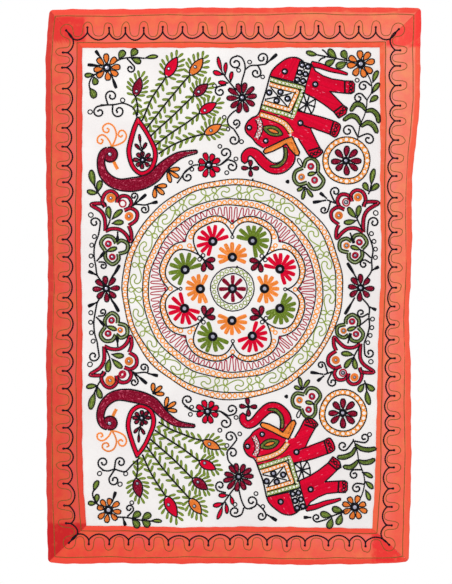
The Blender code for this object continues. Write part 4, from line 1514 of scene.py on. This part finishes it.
def threadFinish(name):
    finish, tree, shader = finishNodes(name + "_thread")
    dark, light = threads[name]
    place = node(tree, "ShaderNodeCombineXYZ")
    tree.links.new(attributeOf(tree, "run"), place.inputs[0])
    tree.links.new(attributeOf(tree, "side"), place.inputs[1])
    values = {"Scale": 0.9, "Distortion": 1.2, "Detail": 1.0}
    twist = node(tree, "ShaderNodeTexWave", values, wave_type="BANDS", bands_direction="DIAGONAL")
    tree.links.new(place.outputs["Vector"], twist.inputs["Vector"])
    # Painted highlights: specks of the lighter colour scattered over the thread by noise
    highlightSpecks = noiseOf(tree, 420.0, 2.0, 0.6)
    base = mixed(tree, ranged(tree, highlightSpecks, 0.54, 0.68, 0.0, 0.9), srgb(*dark), srgb(*light))
    shade = ranged(tree, attributeOf(tree, "tone"), -1.0, 1.0, 0.86, 1.08)
    tree.links.new(mixed(tree, 1.0, base, shade, "MULTIPLY"), shader.inputs["Base Color"])
    shader.inputs["Roughness"].default_value = 0.7
    shader.inputs["Specular IOR Level"].default_value = 0.07
    bumped(tree, shader, twist.outputs["Fac"], 0.5, 0.2 * mm)
    return finish


def glassFinish():
    finish, tree, shader = finishNodes("mirror_glass")
    cloudy = ranged(tree, noiseOf(tree, 160.0, 3.0), 0.3, 0.7)
    tree.links.new(mixed(tree, cloudy, srgb(150, 150, 172), srgb(200, 200, 216)),
                   shader.inputs["Base Color"])
    tree.links.new(ranged(tree, cloudy, 0.0, 1.0, 0.10, 0.26), shader.inputs["Roughness"])
    shader.inputs["Metallic"].default_value = 1.0
    bumped(tree, shader, noiseOf(tree, 90.0, 2.0), 0.15, 0.3 * mm)
    return finish


# Meshes
def addPiece(name, points, faceSets, finish, slot, attributes=None):
    mesh = bpy.data.meshes.new(name)
    points = np.asarray(points, np.float32)
    sizes = np.concatenate([np.full(len(faces), faces.shape[1]) for faces in faceSets])
    corners = np.concatenate([faces.ravel() for faces in faceSets])
    mesh.vertices.add(len(points))
    mesh.vertices.foreach_set("co", points.ravel())
    mesh.loops.add(len(corners))
    mesh.loops.foreach_set("vertex_index", corners.astype(np.int32))
    mesh.polygons.add(len(sizes))
    mesh.polygons.foreach_set("loop_start", (np.cumsum(sizes) - sizes).astype(np.int32))
    mesh.update(calc_edges=True)
    mesh.validate()
    mesh.shade_smooth()
    for key, values in (attributes or {}).items():
        mesh.attributes.new(key, "FLOAT", "POINT").data.foreach_set("value", np.asarray(values, np.float32))
    mesh.materials.append(finish)
    item = bpy.data.objects.new(name, mesh)
    bpy.context.scene.collection.objects.link(item)
    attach(item, "root")
    return item


def cells(index):  # the four corners of each cell in a grid of points
    return np.stack([index[:-1, :-1], index[1:, :-1], index[1:, 1:], index[:-1, 1:]], -1).reshape(-1, 4)


def sheetMesh(name, front, back, finish, slot, attributes=None):  # one closed cloth between two equal grids
    rows, columns = front.shape[:2]
    count = rows * columns
    index = np.arange(count).reshape(rows, columns)
    rim = np.concatenate([index[:, 0], index[-1, 1:], index[-2::-1, -1], index[0, -2:0:-1]])
    after = np.roll(rim, -1)
    sides = np.column_stack([rim, rim + count, after + count, after])
    # whether the first grid would face the wall
    away = np.cross(front[1, 0] - front[0, 0], front[0, 1] - front[0, 0])[1] > 0
    near, far = cells(index), cells(index + count)
    if away:
        near = near[:, ::-1]
    else:
        far, sides = far[:, ::-1], sides[:, ::-1]
    quads = np.vstack([near, far, sides])
    points = np.vstack([front.reshape(-1, 3), back.reshape(-1, 3)])
    both = {key: np.concatenate([values.ravel()] * 2) for key, values in (attributes or {}).items()}
    return addPiece(name, points, [quads], finish, slot, both)


def makeGround(finish):
    rows, columns = cloth["facesDown"] + 1, cloth["facesAcross"] + 1
    lap, half = cloth["lap"], cloth["thickness"] / 2
    down, across = np.meshgrid(np.linspace(0, 1, rows), np.linspace(0, 1, columns), indexing="ij")
    top, bottom = float(edges["innerTop"](0.0)) + lap, float(edges["innerBottom"](0.0)) - lap
    level = top + (bottom - top) * down
    left, right = edges["innerLeft"](-level) - lap, edges["innerRight"](-level) + lap
    x = left + (right - left) * across
    upper, lower = edges["innerTop"](x) + lap, edges["innerBottom"](x) - lap
    z = upper + (lower - upper) * down
    y = middleOfCloth(x, z)
    front, back = np.stack([x, y - half, z], -1), np.stack([x, y + half, z], -1)
    ground = sheetMesh("ground_cloth", front, back, finish, "white_cotton")
    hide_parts("ground_panel")
    return ground


def stripPlaces(width):  # rows across a strip, closest where it is turned and hemmed
    hem, turn, slope = cloth["hemWidth"], width - cloth["turnWidth"], cloth["slope"]
    plain = np.linspace(hem + slope + 4 * mm, turn - slope - 4 * mm, 8)
    hemmed = [0, 0.5 * mm, 1.6 * mm, 5 * mm, hem - 1 * mm, hem, hem + slope / 2, hem + slope]
    turned = [turn - slope, turn - slope / 2, turn, turn + 1 * mm]
    sewn = [width - 5 * mm, width - 1.4 * mm, width - 0.4 * mm, width]
    return np.concatenate([hemmed, plain, turned, sewn])


def stripEdge(side, level):  # places along one edge of a strip, with its rounded corners
    upright = side in ("Left", "Right")
    ends = ("Top", "Bottom") if upright else ("Left", "Right")
    radius = cloth["cornerRadius"]
    share = 0 if level == "outer" else 1
    if upright:
        first, last = (cornerOf(side, end, share)[1] for end in ends)
    else:
        first, last = (cornerOf(end, side, share)[0] for end in ends)
    length, forward = abs(last - first), 1 if last > first else -1
    count = int(0.76 / cloth["stripFaces"]) if not upright else int(1.14 / cloth["stripFaces"])
    near = np.array([0, 0.25, 0.5, 0.75]) * radius
    place = np.concatenate([near, np.linspace(radius, length - radius, count), (length - near)[::-1]])
    close = np.minimum(place, length - place)
    turn = np.where(close < radius, math.radians(45) * (1 - close / radius), 0.0) * (level == "outer")
    inset = radius * (1 - np.cos(turn))
    way = np.where(turn > 0, radius * (1 - np.sin(turn)), close)
    at = first + forward * np.where(place <= length / 2, way, length - way)
    inward = {"Left": 1, "Right": -1, "Top": -1, "Bottom": 1}[side]
    phase = len(side) + (2 if upright else 0)
    rough = np.sin(at * 71 + phase) + 0.7 * np.sin(at * 127 + 3 * phase) + 0.5 * np.sin(at * 239 + 5 * phase)
    rough *= cloth["uneven"] * ease((close - radius) / (30 * mm))
    line = edges[level + side](-at if upright else at) + inward * (inset + rough)
    return np.column_stack([line, at] if upright else [at, line])


doubled = dict(  # patch by patch where the cloth lies doubled, tinted darker as painted shade: its sides on the chart, how strong, and the strips that show it
    topLeft=((53, 85, 17, 42), 0.8, ("Top", "Left")),
    topRight=((386, 430, 0, 47), 0.8, ("Right",)),
    bottomLeft=((40, 90, 523, 580), 0.9, ("Left",)),
    bottomRight=((372, 400, 533, 561), 0.8, ("Bottom",)),
)


def doubledShare(side, u, v):
    share = np.zeros(np.shape(u))
    for (left, right, top, bottom), strength, shown in doubled.values():
        inside = np.minimum(np.minimum(u - left, right - u), np.minimum(v - top, bottom - v))
        share = np.maximum(share, strength * ease(inside / 1.5 + 0.5) * (side in shown))
    return share


def makeStrip(side, finish):
    outer, inner = stripEdge(side, "outer"), stripEdge(side, "inner")
    width = 74 * mm
    share = stripPlaces(width) / width
    across = outer[:, None, :] + (inner - outer)[:, None, :] * share[None, :, None]
    x, z = across[..., 0], across[..., 1]
    lift, hem, turn = stripLift(x, z)
    back = cloth["thickness"] / 2 + cloth["gap"]
    roundOuter = 0.35 + 0.65 * np.sqrt(ease(share * width / (2.2 * mm)))
    roundInner = 0.35 + 0.65 * np.sqrt(ease((1 - share) * width / (2.0 * mm)))
    lift = back + (lift - back) * (roundOuter * roundInner)[None, :]
    y = middleOfCloth(x, z)
    front, rear = np.stack([x, y - lift, z], -1), np.stack([x, y - back, z], -1)
    outward = np.broadcast_to(1 - share, x.shape)
    attributes = dict(hem=hem, turn=turn, doubled=doubledShare(side, *toChart(x, z)), outward=outward)
    strip = sheetMesh("strip_" + side.lower(), front, rear, finish, "coral_cotton", attributes)
    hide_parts("border_" + side.lower())
    return strip


# Half widths across a row of stitches and its height, between joints and at them. link is a stitch's
# length in chart squares, steps is how many faces long it is, and reverseLink is its length on the back
sections = dict(
    chain=dict(across=np.array([-1, -0.56, 0, 0.56, 1.0]), height=np.array([-0.15, 1.0, 0.55, 1.0, -0.15]),
               jointHeight=np.array([-0.15, 0.8, 0.85, 0.8, -0.15]), jointWidth=0.7,
               link=1.9, steps=3, reverseLink=2.0),
    fill=dict(across=np.array([-1, -0.56, 0, 0.56, 1.0]), height=np.array([-0.1, 0.9, 0.62, 0.9, -0.1]),
              jointHeight=np.array([-0.1, 0.74, 0.8, 0.74, -0.1]), jointWidth=0.88,
              link=1.9, steps=2, reverseLink=2.7),
    thin=dict(across=np.array([-1, 0, 1.0]), height=np.array([-0.2, 1.0, -0.2]),
              jointHeight=np.array([-0.2, 0.75, -0.2]), jointWidth=0.84, link=1.5, steps=2, reverseLink=1.7),
)
rowRise = dict(rise=0.23, widest=1.8)  # how high a row stands for each chart square of its width


def stitchMesh(name, lines, finish, slot):
    points, quads, tones, runs, sides = [], [], [], [], []
    start = 0
    for path, width, closed, kind, level in lines:
        section = sections[kind]
        steps, link = section["steps"], section["link"]
        place = even(path, link / steps, closed, steps)
        if len(place) < 3:
            place = even(path, math.dist(path[0], path[-1]) / 3 + 1e-6, False, 3)
        square = sideways(place, closed)
        count = len(place)
        joint = (np.arange(count) % steps == 0).astype(float)
        if kind == "thin" and not closed:
            joint *= 0.5
        wide = 1 - joint * (1 - section["jointWidth"])
        tall = section["height"] * (1 - joint[:, None]) + section["jointHeight"] * joint[:, None]
        if not closed:
            wide[[0, -1]] = 0.5
            tall[[0, -1]] *= 0.35
        offset = section["across"][None, :] * (wide * width / 2)[:, None]
        spots = place[:, None, :] + square[:, None, :] * offset[..., None]
        flat = toCloth(spots.reshape(-1, 2))
        high = rowRise["rise"] * min(width, rowRise["widest"]) * chart["square"]
        rise = (tall * high).ravel() + level * layer
        y = frontOf(flat[:, 0], flat[:, 1]) - rise
        points.append(np.column_stack([flat[:, 0], y, flat[:, 1]]))
        rings = np.arange(count + 1) % count if closed else np.arange(count)
        columns = len(section["across"])
        index = start + rings[:, None] * columns + np.arange(columns)[None, :]
        quads.append(cells(index))
        tones.append(np.full(count * columns, random.uniform(-1, 1)))
        runs.append(np.repeat(np.arange(count) * link / steps, columns))
        sides.append(np.tile(section["across"] * width / 2, count))
        start += count * columns
    attributes = dict(tone=np.concatenate(tones), run=np.concatenate(runs), side=np.concatenate(sides))
    return addPiece(name, np.vstack(points), [np.vstack(quads)], finish, slot, attributes)


# the pale glint stitches, being painted highlights, and the white rows are left off the back
reverse = dict(width=1.1 * mm, rise=0.6 * mm, ends=0.3 * mm, share=0.9, leftOut=("rose", "white"))


def backOf(x, z):  # the cloth's face towards the wall
    half = cloth["thickness"] / 2
    return middleOfCloth(x, z) + np.where(fromPanel(x, z) < cloth["lap"], half, -half - cloth["gap"])


def reverseMesh(name, lines, finish, slot):  # each link on the front leaves one straight stitch on the back
    points, tones = [], []
    for path, _, closed, kind, _ in lines:
        flat = toCloth(even(path, sections[kind]["reverseLink"], closed))
        starts, ends = (flat, np.roll(flat, -1, axis=0)) if closed else (flat[:-1], flat[1:])
        way = ends - starts
        length = np.maximum(np.hypot(way[:, 0], way[:, 1]), 1e-6)[:, None]
        square = np.column_stack([-way[:, 1], way[:, 0]]) / length * reverse["width"] / 2
        middle, half = (starts + ends) / 2, way / 2 * reverse["share"]
        corners = [middle - half, middle + square, middle + half, middle - square]
        spots = np.stack(corners, axis=1).reshape(-1, 2)
        rise = np.tile([reverse["ends"], reverse["rise"]], len(spots) // 2)
        points.append(np.column_stack([spots[:, 0], backOf(spots[:, 0], spots[:, 1]) + rise, spots[:, 1]]))
        tones.append(np.full(len(spots), random.uniform(-1, 1)))
    points = np.vstack(points)
    quads = np.arange(len(points)).reshape(-1, 4)
    still = np.zeros(len(points))
    attributes = dict(tone=np.concatenate(tones), run=still, side=still)
    return addPiece(name, points, [quads], finish, slot, attributes)


def rimMesh(name, entries, finish):  # buttonhole stitches that cover a mirror's edge
    points, quads, tones, runs, sides = [], [], [], [], []
    start = 0
    profile = np.array([(0.0, 0.62), (0.14, 0.92), (0.45, 1.0), (0.78, 0.72), (1.0, -0.06)])
    for place, inner, outer, height in entries:
        count = 2 * max(10, int(outer * 5))
        angle = np.linspace(0, 360, count, endpoint=False)
        ridge = 1 - 0.16 * (np.arange(count) % 2)
        radius = inner + (outer - inner) * profile[:, 0][None, :] * (0.94 + 0.06 * ridge)[:, None]
        flat = toCloth(np.column_stack([
            (place[0] + radius * np.cos(np.radians(angle))[:, None]).ravel(),
            (place[1] + radius * np.sin(np.radians(angle))[:, None]).ravel()]))
        middle = toCloth([place])[0]
        base = float(frontOf(middle[:1], middle[1:])[0])
        y = base - (profile[:, 1][None, :] * height * ridge[:, None]).ravel()
        points.append(np.column_stack([flat[:, 0], y, flat[:, 1]]))
        rings, columns = np.arange(count + 1) % count, len(profile)
        index = start + rings[:, None] * columns + np.arange(columns)[None, :]
        quads.append(np.roll(cells(index), -1, axis=1))
        tones.append(np.full(count * columns, random.uniform(-1, 0.4)))
        runs.append(np.repeat(angle / 12, columns))
        sides.append(np.tile(profile[:, 0], count))
        start += count * columns
    attributes = dict(tone=np.concatenate(tones), run=np.concatenate(runs), side=np.concatenate(sides))
    return addPiece(name, np.vstack(points), [np.vstack(quads)], finish, "black_thread", attributes)


def glassMesh(name, entries, finish):
    points, quads, caps = [], [], []
    start, sides, thickness = 0, 20, 0.8 * mm
    angle = np.radians(np.linspace(0, 360, sides, endpoint=False))
    for place, radius, lift in entries:
        middle = toCloth([place])[0]
        base = float(frontOf(middle[:1], middle[1:])[0]) - lift
        r = radius * chart["square"]
        levels = [(r, -0.1 * mm), (r, -0.75 * thickness), (r * 0.93, -thickness)]
        for reach, height in levels:
            points.append(np.column_stack([middle[0] + reach * np.cos(angle), np.full(sides, base + height),
                                           middle[1] + reach * np.sin(angle)]))
        points.append(np.array([[middle[0], base - y, middle[1]] for y in (thickness, 0.1 * mm)]))
        index = start + np.arange(sides)
        after = np.roll(index, -1)
        for low, high in ((0, sides), (sides, 2 * sides)):
            quads.append(np.column_stack([index + low, after + low, after + high, index + high]))
        top, bottom = start + 3 * sides, start + 3 * sides + 1
        caps.append(np.column_stack([index + 2 * sides, after + 2 * sides, np.full(sides, top)]))
        caps.append(np.column_stack([after, index, np.full(sides, bottom)]))
        start += 3 * sides + 2
    return addPiece(name, np.vstack(points), [np.vstack(quads), np.vstack(caps)], finish, "mirror_glass")


white, glassy = whiteFinish(), glassFinish()
ground = makeGround(white)
strips = [makeStrip(side, coralFinish(side)) for side in ("Top", "Bottom", "Left", "Right")]
print("cloth made")

finishes = {name: threadFinish(name) for name in threads}
counts = {}
for (group, thread), lines in work.items():
    piece = stitchMesh(group + "_" + thread, lines, finishes[thread], threadSlots[thread])
    counts[piece.name] = len(piece.data.loops) // 2
rimMesh("mirror_rims", rims, finishes["black"])
glassMesh("small_mirrors", glasses, glassy)
backs = {}
for (group, thread), lines in work.items():
    backs.setdefault(thread, []).extend(lines)
for thread, lines in backs.items():
    if thread not in reverse["leftOut"]:
        piece = reverseMesh("reverse_" + thread, lines, finishes[thread], threadSlots[thread])
        counts[piece.name] = len(piece.data.loops) // 2
for name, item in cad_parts.items():
    if name.startswith("mirror"):
        for old in item.material_slots:
            old.material = glassy
most = max(counts.items(), key=lambda pair: pair[1])
print("stitches made:", sum(counts.values()), "triangles; most in one piece:", most)

# Studio: a pale floor below, soft light, and a white background
studio = dict(
    fill=0.88, key=27.0, keyPlace=(-1.5, -2.6, 0.9), rear=10.0, rearPlace=(1.4, 2.6, 0.8), lightSize=1.6,
    target=(0, 0, -0.57), floor=-2.0, floorReach=3, floorShade=0.85, lens=70,
    eye=(-0.01545, -2.339, -0.58504),
)


def addLight(name, place, energy):
    data = bpy.data.lights.new(name, "AREA")
    data.energy = energy
    data.size = studio["lightSize"]
    item = bpy.data.objects.new(name, data)
    item.location = place
    way = np.subtract(studio["target"], place)
    item.rotation_euler = Vector(way).to_track_quat("-Z", "Y").to_euler()
    bpy.context.scene.collection.objects.link(item)


def makeStudio():
    scene = bpy.context.scene
    world = bpy.data.worlds.new("studio")
    scene.world = world
    world.use_nodes = True
    tree = world.node_tree
    background = tree.nodes["Background"]
    background.inputs["Color"].default_value = (1, 1, 1, 1)
    ray = node(tree, "ShaderNodeLightPath")
    strength = ranged(tree, ray.outputs["Is Camera Ray"], 0.0, 1.0, studio["fill"], 1.0)
    tree.links.new(strength, background.inputs["Strength"])
    addLight("key", studio["keyPlace"], studio["key"])
    addLight("rear", studio["rearPlace"], studio["rear"])
    mesh = bpy.data.meshes.new("floor")
    z, reach = studio["floor"], studio["floorReach"]
    sides = ((-reach, -reach), (reach, -reach), (reach, reach), (-reach, reach))
    mesh.from_pydata([(x, y, z) for x, y in sides], [], [(0, 1, 2, 3)])
    floor = bpy.data.objects.new("floor", mesh)
    scene.collection.objects.link(floor)
    finish, tree, shader = finishNodes("pale_floor")
    shader.inputs["Base Color"].default_value = (*[studio["floorShade"]] * 3, 1)
    shader.inputs["Roughness"].default_value = 0.7
    mesh.materials.append(finish)
    camera = bpy.data.cameras.new("camera")
    camera.lens = studio["lens"]
    eye = bpy.data.objects.new("camera", camera)
    eye.location = studio["eye"]
    eye.rotation_euler = (math.radians(90), 0, 0)
    scene.collection.objects.link(eye)
    scene.camera = eye
    scene.view_settings.view_transform = "Standard"


makeStudio()
bpy.context.view_layer.update()
print("finishing")
